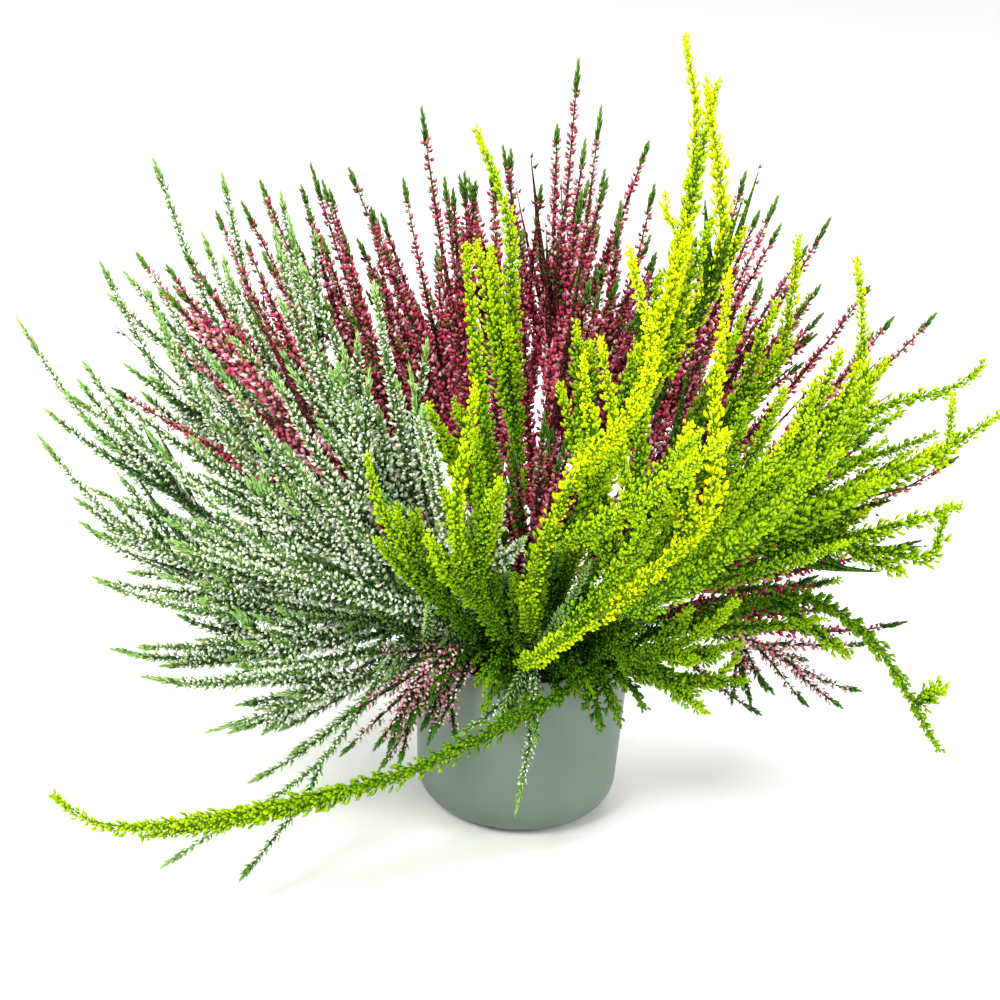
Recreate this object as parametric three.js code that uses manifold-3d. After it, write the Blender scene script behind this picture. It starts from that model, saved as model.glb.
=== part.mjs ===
// Potted heather: a white-flowered, a crimson-flowered and a yellow-leaved heather that grow together
// from one ball of soil in a plain moulded plastic pot. Each leafy stem with its side shoots is one
// piece, rooted in its own hole in the soil. Millimetres, +Z up; the origin is the centre of the
// pot's flat underside, and the plant's front faces -Y.
import * as THREE from 'three';
import Module from 'manifold-3d';

// Pot: a thin cup with a plain rim and a large rounded edge at the bottom.
const POT_HEIGHT = 98;
const POT_TOP_RADIUS = 60;
const POT_LOW_RADIUS = 56;
const POT_EDGE_RADIUS = 20;
const POT_WALL = 1.6;
const POT_SIDES = 24;
const DRAIN_RADIUS = 4;
const DRAIN_CIRCLE = 24;
const DRAIN_COUNT = 4;

// Soil: fills the pot to a little below the rim, slightly heaped in the middle.
const SOIL_GAP = 0.3;
const SOIL_LEVEL = 86;
const SOIL_HEAP = 2;
const HOLE_FLOOR = 70;
const HOLE_GAP = 0.5;
const HOLE_WALL = 1;

// Stems: they stand upright in the soil, then lean out from the crown of the plant.
const CROWN = new THREE.Vector3(0, 0, 90);
const FOOT_LEVEL = HOLE_FLOOR + 0.4;
const FOOT_CIRCLE = 46;
const STEM_FOOT_RADIUS = 1.4;
const STEM_TOP_RADIUS = 1.1;
const STEM_STEP = 15;
const STEM_BURIED = SOIL_LEVEL + SOIL_HEAP - FOOT_LEVEL;
const SHOOT_ROOT_RADIUS = 0.9;
const CLEARANCE = 0.7;
const RIM_GAP = 0.8;
const LINE_STEPS = 16;
const TRIES = 400;

// Flower or leaf cover of a stem, raised from it by a formula. bare is the length of bare stem above
// the soil, width the cover's outer radius, core the part of that radius left between the points,
// step the distance between rings, tip the width left at the tip and lean how far points lean ahead.
const COVERS = {
  white: { bare: 62, width: 5.4, core: 0.42, step: 18, tip: 0.3, lean: 0.5, shoots: 2 },
  crimson: { bare: 66, width: 5.2, core: 0.4, step: 17, tip: 0.25, lean: 0.5, shoots: 1 },
  pink: { bare: 40, width: 4.6, core: 0.4, step: 11, tip: 0.4, lean: 0.5, shoots: 2 },
  lime: { bare: 52, width: 7.6, core: 0.38, step: 15, tip: 0.28, lean: 0.6, shoots: 1 },
};
const COVER_TWIST = 0.2;

// Main stems, each given by its tip, by points on the way where it arches over the rim, and by lift,
// how far its end turns upward.
const STEMS = {
  white: [
    { tip: [-279, 10, 264], via: [[-197, 0, 173]], lift: 0.4 },
    { tip: [-264, -15, 207], via: [[-190, -22, 144]], lift: 0.3 },
    { tip: [-254, 40, 138], lift: 0.6 },
    { tip: [-226, -60, 146], lift: 0.4 },
    { tip: [-240, 40, 288], via: [[-174, 20, 190]], lift: 0.1 },
    { tip: [-209, 30, 348], via: [[-154, 18, 228]], lift: 0.1 },
    { tip: [-193, -60, 291], via: [[-148, -70, 219]], lift: 0.15 },
    { tip: [-179, 0, 317], via: [[-132, -20, 226]], lift: 0.1 },
    { tip: [-126, -70, 343], via: [[-96, -76, 245]], lift: 0.5 },
    { tip: [-222, -40, 98], lift: 0.5 },
    { tip: [-192, -115, 118], lift: 0.5 },
    { tip: [-164, -92, 76], lift: 0.1 },
    { tip: [-187, -125, 252], via: [[-128, -125, 193]], lift: 0.4 },
    { tip: [-162, -105, 287], via: [[-107, -125, 225]], lift: 0.2 },
    { tip: [-63, -120, 287], via: [[-47, -120, 219]], lift: 0.2 },
    { tip: [-169, 120, 250] },
    { tip: [-204, 115, 165], lift: 0.4 },
    {
      tip: [-176, -150, 28], via: [[-62, -46, 112], [-104, -100, 64]], lift: -0.1, slim: 0.6, shoots: 0,
      forks: [{ from: 0.4, tip: [-140, -92, 48] }],
    },
    {
      tip: [0, -86, 33], via: [[5, -66, 108], [5, -80, 74]], lift: -0.3, slim: 0.65, shoots: 0,
      forks: [{ from: 0.35, tip: [-34, -88, 78] }],
    },
  ],
  crimson: [
    {
      tip: [-211, -10, 307], via: [[-131, -75, 251]], lift: 0.3, shoots: 0,
      forks: [{ from: 0.55, tip: [-192, -30, 306] }],
    },
    {
      tip: [-176, 30, 322], via: [[-121, -45, 253]], lift: 0.15, shoots: 0,
      forks: [{ from: 0.35, tip: [-190, 10, 304] }],
    },
    { tip: [-124, 10, 354], shoots: 0, forks: [{ from: 0.35, tip: [-154, 45, 336] }] },
    { tip: [-80, 90, 332], shoots: 1, forks: [{ from: 0.35, tip: [-94, 70, 315] }] },
    { tip: [-68, 20, 384] },
    { tip: [-21, 60, 357], shoots: 1, forks: [{ from: 0.45, tip: [-31, 45, 351] }] },
    { tip: [12, 40, 410], shoots: 1, forks: [{ from: 0.45, tip: [3, 45, 374] }] },
    { tip: [28, 110, 375], shoots: 1, forks: [{ from: 0.4, tip: [-5, 95, 315] }] },
    { tip: [3, -60, 248], lift: 0.5 },
    { tip: [59, 80, 338] },
    { tip: [125, 60, 340], shoots: 0, forks: [{ from: 0.45, tip: [108, 75, 349] }] },
    { tip: [162, 110, 319], shoots: 0, forks: [{ from: 0.45, tip: [157, 90, 284] }] },
    { tip: [218, 60, 279], shoots: 0, forks: [{ from: 0.5, tip: [187, 75, 262] }] },
    { tip: [243, 70, 194] },
    { tip: [223, 60, 95], lift: 0.3 },
    { tip: [-49, 175, 270] },
    { tip: [66, 180, 265] },
    { tip: [-104, 190, 180], lift: 0.4 },
  ],
  pink: [
    {
      tip: [160, -10, 70], via: [[62, -8, 118], [118, -12, 112]], lift: 0.2, shoots: 0,
      forks: [{ from: 0.6, tip: [126, -30, 78] }, { from: 0.62, tip: [193, 18, 68] }],
    },
    {
      tip: [-92, -95, 68], via: [[-40, -64, 113], [-66, -84, 94]], lift: 0, shoots: 0,
      forks: [{ from: 0.4, tip: [-48, -84, 72] }, { from: 0.55, tip: [-75, -104, 77] }],
    },
  ],
  lime: [
    {
      tip: [61, -30, 435], via: [[62, -40, 304], [70, -34, 389]], shoots: 0,
      forks: [{ from: 0.4, via: [[81, -62, 324], [81, -66, 367]], tip: [71, -62, 418] }],
    },
    {
      tip: [-37, -70, 390], via: [[-15, -60, 290], [-21, -68, 349]], shoots: 0,
      forks: [{ from: 0.45, tip: [-28, -85, 337] }],
    },
    { tip: [-39, -110, 343], via: [[-31, -100, 280]], shoots: 1 },
    {
      tip: [-31, -150, 288], via: [[-36, -138, 205]], shoots: 0,
      forks: [{ from: 0.35, tip: [-50, -150, 213] }, { from: 0.5, tip: [-18, -152, 244] }],
    },
    {
      tip: [-81, -130, 245], via: [[-65, -125, 200]], lift: 0.4, shoots: 0,
      forks: [{ from: 0.5, tip: [-66, -140, 221] }],
    },
    {
      tip: [24, -162, 317], via: [[50, -128, 195], [38, -153, 255]], shoots: 1,
      forks: [{ from: 0.4, tip: [18, -130, 298] }],
    },
    {
      tip: [31, -225, 372], via: [[-1, -100, 165], [15, -140, 237], [32, -175, 276], [45, -205, 318]],
      shoots: 1,
    },
    {
      tip: [75, -200, 359], via: [[9, -108, 138], [46, -158, 192], [76, -190, 250], [74, -196, 305]],
      shoots: 1, forks: [{ from: 0.6, tip: [63, -200, 289] }],
    },
    {
      tip: [53, -100, 368], via: [[58, -95, 318]], shoots: 1,
      forks: [{ from: 0.5, tip: [64, -110, 356] }],
    },
    {
      tip: [126, -30, 338], via: [[112, -28, 251], [125, -30, 302]], shoots: 1,
      forks: [{ from: 0.5, tip: [116, -48, 308] }],
    },
    {
      tip: [150, -70, 337], via: [[148, -75, 241], [156, -74, 295]], shoots: 2,
      forks: [{ from: 0.5, tip: [144, -90, 298] }],
    },
    {
      tip: [124, -150, 299], via: [[113, -140, 231]], shoots: 2,
      forks: [{ from: 0.45, tip: [109, -158, 296] }],
    },
    { tip: [229, -20, 276], via: [[165, -15, 233], [212, -19, 258]], lift: 0.8, shoots: 0 },
    {
      tip: [209, -50, 266], via: [[177, -50, 217], [207, -50, 230]], shoots: 1,
      forks: [{ from: 0.5, via: [[178, -70, 186], [202, -72, 186]], tip: [208, -72, 213] }],
    },
    {
      tip: [212, -110, 95], via: [[68, -38, 120], [137, -60, 154], [177, -85, 142]], lift: 0, shoots: 0,
      forks: [{ from: 0.86, tip: [208, -112, 132] }],
    },
    {
      tip: [-220, -195, 91], via: [[34, -68, 106], [-60, -125, 74], [-162, -180, 69]], lift: 0.8,
      shoots: 0,
    },
    {
      tip: [97, -150, 188], lift: 0.5, shoots: 2,
      forks: [{ from: 0.2, via: [[84, -100, 120]], tip: [106, -108, 141] }],
    },
    { tip: [156, 120, 270] },
    { tip: [201, 100, 150], lift: 0.4 },
  ],
};

const UP = new THREE.Vector3(0, 0, 1);

const wasm = await Module();
wasm.setup();

// A repeatable series of numbers from 0 to 1.
function seededSeries(seed) {
  let state = seed;
  return () => {
    state = (state * 1664525 + 1013904223) % 4294967296;
    return state / 4294967296;
  };
}

// A random offset of at most reach along each axis.
function randomOffset(series, reach) {
  const x = (series() - 0.5) * 2 * reach;
  const y = (series() - 0.5) * 2 * reach;
  const z = (series() - 0.5) * 2 * reach;
  return new THREE.Vector3(x, y, z);
}

// --- Stem lines -----------------------------------------------------------------------------------

// A smooth line through the points that leaves the first one along start and reaches the last one
// turned upward by lift.
function smoothLine(points, start, lift) {
  const last = points.length - 1;
  const tangents = points.map((point, i) => {
    if (i === 0) return start.clone();
    if (i < last) return points[i + 1].clone().sub(points[i - 1]).multiplyScalar(0.5);
    const run = point.clone().sub(points[i - 1]);
    return run.addScaledVector(UP, lift * run.length());
  });
  const line = [points[0].clone()];
  for (let i = 0; i < last; i += 1) {
    for (let step = 1; step <= LINE_STEPS; step += 1) {
      const t = step / LINE_STEPS;
      const t2 = t * t;
      const t3 = t2 * t;
      line.push(new THREE.Vector3()
        .addScaledVector(points[i], 2 * t3 - 3 * t2 + 1)
        .addScaledVector(tangents[i], t3 - 2 * t2 + t)
        .addScaledVector(points[i + 1], 3 * t2 - 2 * t3)
        .addScaledVector(tangents[i + 1], t3 - t2));
    }
  }
  return line;
}

function lineLength(line) {
  let length = 0;
  for (let i = 1; i < line.length; i += 1) length += line[i].distanceTo(line[i - 1]);
  return length;
}

// The point at a distance along a line.
function pointAlong(line, distance) {
  let left = distance;
  for (let i = 1; i < line.length; i += 1) {
    const span = line[i].distanceTo(line[i - 1]);
    if (left <= span || i === line.length - 1) {
      return line[i - 1].clone().lerp(line[i], left / span);
    }
    left -= span;
  }
  return line[line.length - 1].clone();
}

// Where along a stem its rings sit: on the bare part, then on the cover.
function ringDistances(stem) {
  const distances = [0];
  if (!stem.root) {
    const steps = Math.round((stem.bare - STEM_BURIED) / STEM_STEP);
    for (let i = 0; i < steps; i += 1) {
      distances.push(THREE.MathUtils.lerp(STEM_BURIED, stem.bare, i / steps));
    }
  }
  const covered = stem.length - stem.bare;
  const steps = Math.max(3, Math.round(covered / stem.cover.step));
  for (let i = 0; i < steps; i += 1) distances.push(stem.bare + covered * i / steps);
  return distances;
}

// The ring of a stem that is nearest to a part of the way along it.
function nearestRing(stem, part) {
  const wanted = part * stem.length;
  return ringDistances(stem).reduce((best, distance) => (
    Math.abs(distance - wanted) < Math.abs(best - wanted) ? distance : best));
}

// Outer radius of a stem's flower or leaf cover at a distance from its foot.
function coverRadius(stem, distance) {
  const part = (distance - stem.bare) / (stem.length - stem.bare);
  if (part < 0) return STEM_FOOT_RADIUS;
  const swell = Math.min(0.6 + 3 * part, 1);
  return stem.width * swell * (1 - (1 - stem.cover.tip) * part * part);
}

// Balls along a stem that other stems keep clear of.
function guardBalls(stem) {
  const count = Math.ceil(stem.length / 7);
  const balls = [];
  for (let i = 0; i <= count; i += 1) {
    const distance = stem.length * i / count;
    const cover = Math.max(coverRadius(stem, distance), coverRadius(stem, distance - 7));
    const buried = !stem.root && distance < STEM_BURIED + 5;
    const radius = buried ? STEM_FOOT_RADIUS + HOLE_GAP + HOLE_WALL / 2 : cover;
    balls.push({ centre: pointAlong(stem.line, distance), radius: radius + CLEARANCE / 2 });
  }
  return balls;
}

function isClear(balls, others) {
  return balls.every((ball) => others.every((other) => (
    ball.centre.distanceTo(other.centre) >= ball.radius + other.radius)));
}

// Whether a ball is inside the pot's mouth, above its rim or outside it.
function clearsPot({ centre, radius }) {
  const across = Math.hypot(centre.x, centre.y);
  const inside = across + radius < POT_TOP_RADIUS - POT_WALL - RIM_GAP;
  return inside || centre.z - radius > POT_HEIGHT || across - radius > POT_TOP_RADIUS;
}

// How far the way from the crown to a place leans over: 0 is upright, 1 is level.
function leanOf(place) {
  const away = place.clone().sub(CROWN);
  return Math.atan2(Math.hypot(away.x, away.y), Math.max(away.z, 0)) / (Math.PI / 2);
}

// Where a stem stands in the soil: on the side it leans to, nearer the rim the lower it leans.
function footPlace(target) {
  const away = target.clone().sub(CROWN);
  const flat = Math.hypot(away.x, away.y);
  const circle = FOOT_CIRCLE * leanOf(target) ** 0.75;
  return new THREE.Vector3(circle * away.x / flat, circle * away.y / flat, SOIL_LEVEL + SOIL_HEAP);
}

// A main stem, bent by random amounts until it passes clear of the stems that are already there.
function growMain(spec, cover, series, others) {
  const tip = new THREE.Vector3(...spec.tip);
  const via = (spec.via ?? []).map((place) => new THREE.Vector3(...place));
  const target = via[0] ?? tip;
  for (let attempt = 0; attempt < TRIES; attempt += 1) {
    const bend = Math.min(attempt / 80, 1);
    const foot = footPlace(target).add(randomOffset(series, 9 * bend).setZ(0));
    const reach = foot.distanceTo(target);
    const rise = (0.3 + 0.45 * leanOf(target) ** 3) * reach;
    const start = UP.clone().multiplyScalar(rise).add(randomOffset(series, 0.5 * reach * bend));
    start.z = Math.max(start.z, 0.3 * reach);
    const arch = smoothLine([foot, ...via, tip], start, spec.lift ?? 0.2);
    const line = [foot.clone().setZ(FOOT_LEVEL), ...arch];
    const width = cover.width * (spec.slim ?? 1);
    const stem = { line, cover, width, length: lineLength(line), bare: cover.bare, root: false };
    const balls = guardBalls(stem);
    if (balls.every(clearsPot) && isClear(balls, others)) return stem;
  }
  return null;
}

// A side shoot from a part of the way up its main stem to a tip, bent until it passes clear.
function growFork(main, { from, via = [], tip }, series, others) {
  const fork = nearestRing(main, from);
  const foot = pointAlong(main.line, fork);
  const ahead = pointAlong(main.line, fork + 6).sub(foot).normalize();
  const ends = [...via, tip].map((place) => new THREE.Vector3(...place));
  const reach = foot.distanceTo(ends[0]);
  for (let attempt = 0; attempt < TRIES; attempt += 1) {
    const bend = Math.min(attempt / 80, 1);
    const start = ahead.clone().multiplyScalar(0.7 * reach).add(randomOffset(series, reach * bend));
    const line = smoothLine([foot, ...ends], start, 0.3);
    const length = lineLength(line);
    const { cover, width } = main;
    const shoot = { line, cover, width, length, bare: 0.1 * length, root: true };
    const balls = guardBalls(shoot);
    if (balls.every(clearsPot) && isClear(balls, others)) return shoot;
  }
  return null;
}

// A side shoot that leaves its main stem at an acute angle and runs on beside it.
function growShoot(main, index, series, others) {
  for (let attempt = 0; attempt < TRIES; attempt += 1) {
    const from = nearestRing(main, 0.34 + 0.16 * index + 0.1 * series());
    const to = main.length * (0.68 + 0.24 * series());
    const foot = pointAlong(main.line, from);
    const ahead = pointAlong(main.line, from + 6).sub(foot).normalize();
    const along = pointAlong(main.line, to).sub(pointAlong(main.line, to - 6)).normalize();
    const side = randomOffset(series, 1);
    side.addScaledVector(along, -side.dot(along)).normalize();
    const spread = 0.14 * main.length * (0.8 + 0.5 * series());
    const tip = pointAlong(main.line, to).addScaledVector(side, spread);
    const start = ahead.multiplyScalar(0.8 * (to - from)).addScaledVector(side, 1.3 * spread);
    const line = smoothLine([foot, tip], start, 0.15);
    const length = lineLength(line);
    const { cover, width } = main;
    const shoot = { line, cover, width, length, bare: 0.14 * length, root: true };
    const balls = guardBalls(shoot);
    const low = balls.some((ball) => ball.centre.z < ball.radius + 3);
    if (!low && balls.every(clearsPot) && isClear(balls, others)) return shoot;
  }
  return null;
}

// --- Solids ---------------------------------------------------------------------------------------

// Four-sided rings along a stem. On the cover every second corner stands out and leans ahead, so the
// stem carries crossed pairs of points, as heather carries its leaves and flowers.
function stemRings(stem) {
  const ahead = stem.cover.lean * stem.cover.step;
  return ringDistances(stem).map((distance) => {
    if (distance < stem.bare) {
      const thinned = THREE.MathUtils.lerp(STEM_FOOT_RADIUS, STEM_TOP_RADIUS, distance / stem.bare);
      const radius = stem.root ? SHOOT_ROOT_RADIUS : thinned;
      return { distance, outer: radius, inner: radius, lean: 0 };
    }
    const outer = coverRadius(stem, distance);
    return { distance, outer, inner: outer * stem.cover.core, lean: ahead };
  });
}

function stemMesh(stem) {
  const rings = stemRings(stem);
  const corners = [];
  let across = new THREE.Vector3(1, 0, 0);
  rings.forEach((ring, i) => {
    const centre = pointAlong(stem.line, ring.distance);
    const before = pointAlong(stem.line, Math.max(ring.distance - 3, 0));
    const ahead = pointAlong(stem.line, ring.distance + 3).sub(before).normalize();
    across.addScaledVector(ahead, -across.dot(ahead)).normalize();
    const other = ahead.clone().cross(across);
    for (let k = 0; k < 4; k += 1) {
      const angle = k * Math.PI / 2 + (ring.lean > 0 ? i * COVER_TWIST : 0);
      const stands = (i + k) % 2 === 0;
      const radius = stands ? ring.outer : ring.inner;
      corners.push(centre.clone()
        .addScaledVector(across, radius * Math.cos(angle))
        .addScaledVector(other, radius * Math.sin(angle))
        .addScaledVector(ahead, stands ? ring.lean : 0));
    }
  });
  const triangles = [0, 2, 1, 0, 3, 2];
  for (let i = 0; i < rings.length - 1; i += 1) {
    for (let k = 0; k < 4; k += 1) {
      const a = 4 * i + k;
      const b = 4 * i + (k + 1) % 4;
      const c = b + 4;
      const d = a + 4;
      if ((i + k) % 2 === 0) triangles.push(a, b, d, b, c, d);
      else triangles.push(a, b, c, a, c, d);
    }
  }
  const top = 4 * (rings.length - 1);
  const apex = corners.length;
  corners.push(pointAlong(stem.line, stem.length));
  for (let k = 0; k < 4; k += 1) triangles.push(top + k, top + (k + 1) % 4, apex);
  return { corners, triangles };
}

function solidFromMesh({ corners, triangles }) {
  return new wasm.Manifold(new wasm.Mesh({
    numProp: 3,
    vertProperties: new Float32Array(corners.flatMap((corner) => corner.toArray())),
    triVerts: new Uint32Array(triangles),
  }));
}

// A ring-shaped or full solid of revolution from a closed outline of [radius, height] points.
function turnedSolid(outline, sides) {
  const corners = [];
  const triangles = [];
  const firsts = outline.map(([radius, height]) => {
    const first = corners.length;
    const count = radius === 0 ? 1 : sides;
    for (let k = 0; k < count; k += 1) {
      const angle = 2 * Math.PI * k / sides;
      corners.push(new THREE.Vector3(radius * Math.cos(angle), radius * Math.sin(angle), height));
    }
    return { first, count };
  });
  for (let i = 0; i < outline.length - 1; i += 1) {
    const low = firsts[i];
    const high = firsts[i + 1];
    for (let k = 0; k < sides; k += 1) {
      const next = (k + 1) % sides;
      const a = low.first + k % low.count;
      const b = low.first + next % low.count;
      const c = high.first + next % high.count;
      const d = high.first + k % high.count;
      if (low.count > 1) triangles.push(a, b, c);
      if (high.count > 1) triangles.push(a, c, d);
    }
  }
  return solidFromMesh({ corners, triangles });
}

// An upright prism that stands on a height.
function uprightPrism(x, y, low, high, radius, sides) {
  const prism = turnedSolid([[0, 0], [radius, 0], [radius, high - low], [0, high - low]], sides);
  const placed = prism.translate([x, y, low]);
  prism.delete();
  return placed;
}

function joinAll(solids) {
  return solids.reduce((joined, solid) => {
    const result = joined.add(solid);
    joined.delete();
    solid.delete();
    return result;
  });
}

function cutAll(body, cutters) {
  return cutters.reduce((left, cutter) => {
    const result = left.subtract(cutter);
    left.delete();
    cutter.delete();
    return result;
  }, body);
}

function makeMesh(name, solid, material) {
  const mesh = solid.getMesh();
  const geometry = new THREE.BufferGeometry();
  geometry.setAttribute('position', new THREE.BufferAttribute(mesh.vertProperties, 3));
  geometry.setIndex(new THREE.BufferAttribute(mesh.triVerts, 1));
  geometry.computeVertexNormals();
  solid.delete();
  const node = new THREE.Mesh(geometry, material);
  node.name = name;
  return node;
}

// The rounded bottom edge, from the flat underside up to the side.
function roundedEdge(radius, centreRadius, centreHeight, steps) {
  return Array.from({ length: steps + 1 }, (_, i) => {
    const angle = -Math.PI / 2 + (Math.PI / 2) * i / steps;
    return [centreRadius + radius * Math.cos(angle), centreHeight + radius * Math.sin(angle)];
  });
}

function makePot() {
  const edgeCentre = POT_LOW_RADIUS - POT_EDGE_RADIUS;
  const outline = [
    [0, 0],
    ...roundedEdge(POT_EDGE_RADIUS, edgeCentre, POT_EDGE_RADIUS, 4),
    [POT_TOP_RADIUS, POT_HEIGHT],
    [POT_TOP_RADIUS - POT_WALL, POT_HEIGHT],
    ...roundedEdge(POT_EDGE_RADIUS - POT_WALL, edgeCentre, POT_EDGE_RADIUS, 4).reverse(),
    [0, POT_WALL],
  ];
  const drains = Array.from({ length: DRAIN_COUNT }, (_, i) => {
    const angle = 2 * Math.PI * (i + 0.5) / DRAIN_COUNT;
    const x = DRAIN_CIRCLE * Math.cos(angle);
    const y = DRAIN_CIRCLE * Math.sin(angle);
    return uprightPrism(x, y, -1, POT_WALL + 1, DRAIN_RADIUS, 8);
  });
  return cutAll(turnedSolid(outline, POT_SIDES), drains);
}

function makeSoil(stems) {
  const edgeCentre = POT_LOW_RADIUS - POT_EDGE_RADIUS;
  const rise = (SOIL_LEVEL - POT_EDGE_RADIUS) / (POT_HEIGHT - POT_EDGE_RADIUS);
  const topInside = POT_TOP_RADIUS - POT_WALL;
  const lowInside = POT_LOW_RADIUS - POT_WALL;
  const edge = THREE.MathUtils.lerp(lowInside, topInside, rise) - SOIL_GAP - 0.1;
  const outline = [
    [0, POT_WALL + SOIL_GAP],
    ...roundedEdge(POT_EDGE_RADIUS - POT_WALL - SOIL_GAP - 0.1, edgeCentre, POT_EDGE_RADIUS, 4),
    [edge, SOIL_LEVEL - 1],
    [edge - 4, SOIL_LEVEL],
    [0, SOIL_LEVEL + SOIL_HEAP],
  ];
  const holes = stems.map((stem) => {
    const { x, y } = stem.line[0];
    return uprightPrism(x, y, HOLE_FLOOR, SOIL_LEVEL + 2 * SOIL_HEAP, STEM_FOOT_RADIUS + HOLE_GAP, 4);
  });
  return cutAll(turnedSolid(outline, POT_SIDES), holes);
}

// --- Assembly -------------------------------------------------------------------------------------

function growPlants() {
  const series = seededSeries(7);
  const mains = [];
  const guards = [];
  const queue = Object.entries(STEMS).flatMap(([kind, specs]) => specs.map((spec, i) => {
    const name = `${kind}_spray_${String(i + 1).padStart(2, '0')}`;
    return { name, kind, spec };
  }));
  const archingFirst = [...queue.filter(({ spec }) => spec.via), ...queue.filter(({ spec }) => !spec.via)];
  for (const { name, kind, spec } of archingFirst) {
    const stem = growMain(spec, COVERS[kind], series, guards.flat());
    if (!stem) throw new Error(`no clear way for ${name}`);
    guards.push(guardBalls(stem));
    mains.push({ name, kind, spec, stems: [stem] });
  }
  mains.forEach((spray, own) => {
    for (const fork of spray.spec.forks ?? []) {
      const others = guards.filter((_, i) => i !== own).flat();
      const shoot = growFork(spray.stems[0], fork, series, others);
      if (!shoot) throw new Error(`no clear way for a fork of ${spray.name}`);
      spray.stems.push(shoot);
      guards[own].push(...guardBalls(shoot));
    }
  });
  for (let index = 0; index < 3; index += 1) {
    mains.forEach((spray, own) => {
      if (index >= (spray.spec.shoots ?? COVERS[spray.kind].shoots)) return;
      const others = guards.filter((_, i) => i !== own).flat();
      const shoot = growShoot(spray.stems[0], index, series, others);
      if (!shoot) return;
      spray.stems.push(shoot);
      guards[own].push(...guardBalls(shoot));
    });
  }
  return mains;
}

const MATERIALS = {
  white: new THREE.MeshStandardMaterial({ color: 0xc9d6b4, roughness: 0.8, metalness: 0 }),
  crimson: new THREE.MeshStandardMaterial({ color: 0xa8305a, roughness: 0.8, metalness: 0 }),
  pink: new THREE.MeshStandardMaterial({ color: 0xb07080, roughness: 0.8, metalness: 0 }),
  lime: new THREE.MeshStandardMaterial({ color: 0x9cc41a, roughness: 0.75, metalness: 0 }),
};
const POT_PLASTIC = new THREE.MeshStandardMaterial({ color: 0x86968f, roughness: 0.55, metalness: 0 });
const SOIL = new THREE.MeshStandardMaterial({ color: 0x241a14, roughness: 0.95, metalness: 0 });

const sprays = growPlants();
const heather = new THREE.Group();
heather.add(makeMesh('pot', makePot(), POT_PLASTIC));
heather.add(makeMesh('soil', makeSoil(sprays.map((spray) => spray.stems[0])), SOIL));
for (const spray of sprays) {
  const solid = joinAll(spray.stems.map((stem) => solidFromMesh(stemMesh(stem))));
  heather.add(makeMesh(spray.name, solid, MATERIALS[spray.kind]));
}

export default heather;
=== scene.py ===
import math

import bmesh
import bpy
import numpy as np
from mathutils import Matrix, Vector, noise


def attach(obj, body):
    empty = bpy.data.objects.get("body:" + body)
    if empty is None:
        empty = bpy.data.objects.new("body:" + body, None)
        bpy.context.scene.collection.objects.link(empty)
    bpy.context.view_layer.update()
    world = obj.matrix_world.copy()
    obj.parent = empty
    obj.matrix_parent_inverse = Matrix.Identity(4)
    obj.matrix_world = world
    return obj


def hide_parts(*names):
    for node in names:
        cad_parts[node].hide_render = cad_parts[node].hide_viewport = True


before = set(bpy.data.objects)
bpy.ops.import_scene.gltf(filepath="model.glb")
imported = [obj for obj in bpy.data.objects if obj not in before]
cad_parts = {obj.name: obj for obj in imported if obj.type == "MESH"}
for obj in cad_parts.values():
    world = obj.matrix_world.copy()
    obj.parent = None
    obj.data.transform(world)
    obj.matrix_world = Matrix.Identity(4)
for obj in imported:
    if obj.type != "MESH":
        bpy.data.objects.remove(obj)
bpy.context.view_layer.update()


# --- Pot --------------------------------------------------------------------------------------------
# A thin cup moulded in one piece from sage-green polypropylene with a satin skin, with a smooth lip
# and a large rounded edge at the bottom. It stands on its flat underside, which has four drain holes.

# Sizes are in millimetres, which MM turns into metres.
MM = 0.001
POT_HEIGHT = 98
POT_TOP_RADIUS = 60
POT_LOW_RADIUS = 56
POT_EDGE_RADIUS = 20
POT_WALL = 1.6
LIP_ROUNDING = 0.45
DRAIN_COUNT = 4
DRAIN_RADIUS = 4
DRAIN_CIRCLE = 24
POT_SAGE = "5A6A60"
POT_PALE = "697A6F"
# The next tint, paler and warmer, is painted light on the pot's upper half.
POT_LIT_WARM = "6E776C"
POT_DARK_FOOT = "48483C"
PIGMENT_CLOUD = 60
PATCH_SIZE = 9
DARK_FOOT_HEIGHT = 24
MOULD_GRAIN = 0.7


def linear(shade):
    """A colour written as sRGB hex, as linear red, green, blue and alpha."""
    parts = [int(shade[i:i + 2], 16) / 255 for i in (0, 2, 4)]
    return [p / 12.92 if p <= 0.04045 else ((p + 0.055) / 1.055) ** 2.4 for p in parts] + [1.0]


def feed(node, inputs):
    """Sets a node's inputs to values, or joins them to the sockets that feed them."""
    for name, value in inputs.items():
        if isinstance(value, bpy.types.NodeSocket):
            node.id_data.links.new(value, node.inputs[name])
        else:
            node.inputs[name].default_value = value


def add_node(tree, kind, settings=None, inputs=None, shades=()):
    """A shader node with its settings, its inputs and, on a colour ramp, its evenly spaced shades."""
    made = tree.nodes.new(kind)
    for name, value in (settings or {}).items():
        setattr(made, name, value)
    feed(made, inputs or {})
    for i, shade in enumerate(shades):
        stops = made.color_ramp.elements
        at = i / (len(shades) - 1)
        stop = stops.new(at) if 0 < i < len(shades) - 1 else stops[-1 if i else 0]
        stop.color = linear(shade)
    return made


def new_finish(name):
    """A new material, its node tree, its shader and the object's own coordinates."""
    material = bpy.data.materials.new(name)
    material.use_nodes = True
    tree = material.node_tree
    at = add_node(tree, "ShaderNodeTexCoord").outputs["Object"]
    return material, tree, tree.nodes["Principled BSDF"], at


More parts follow.
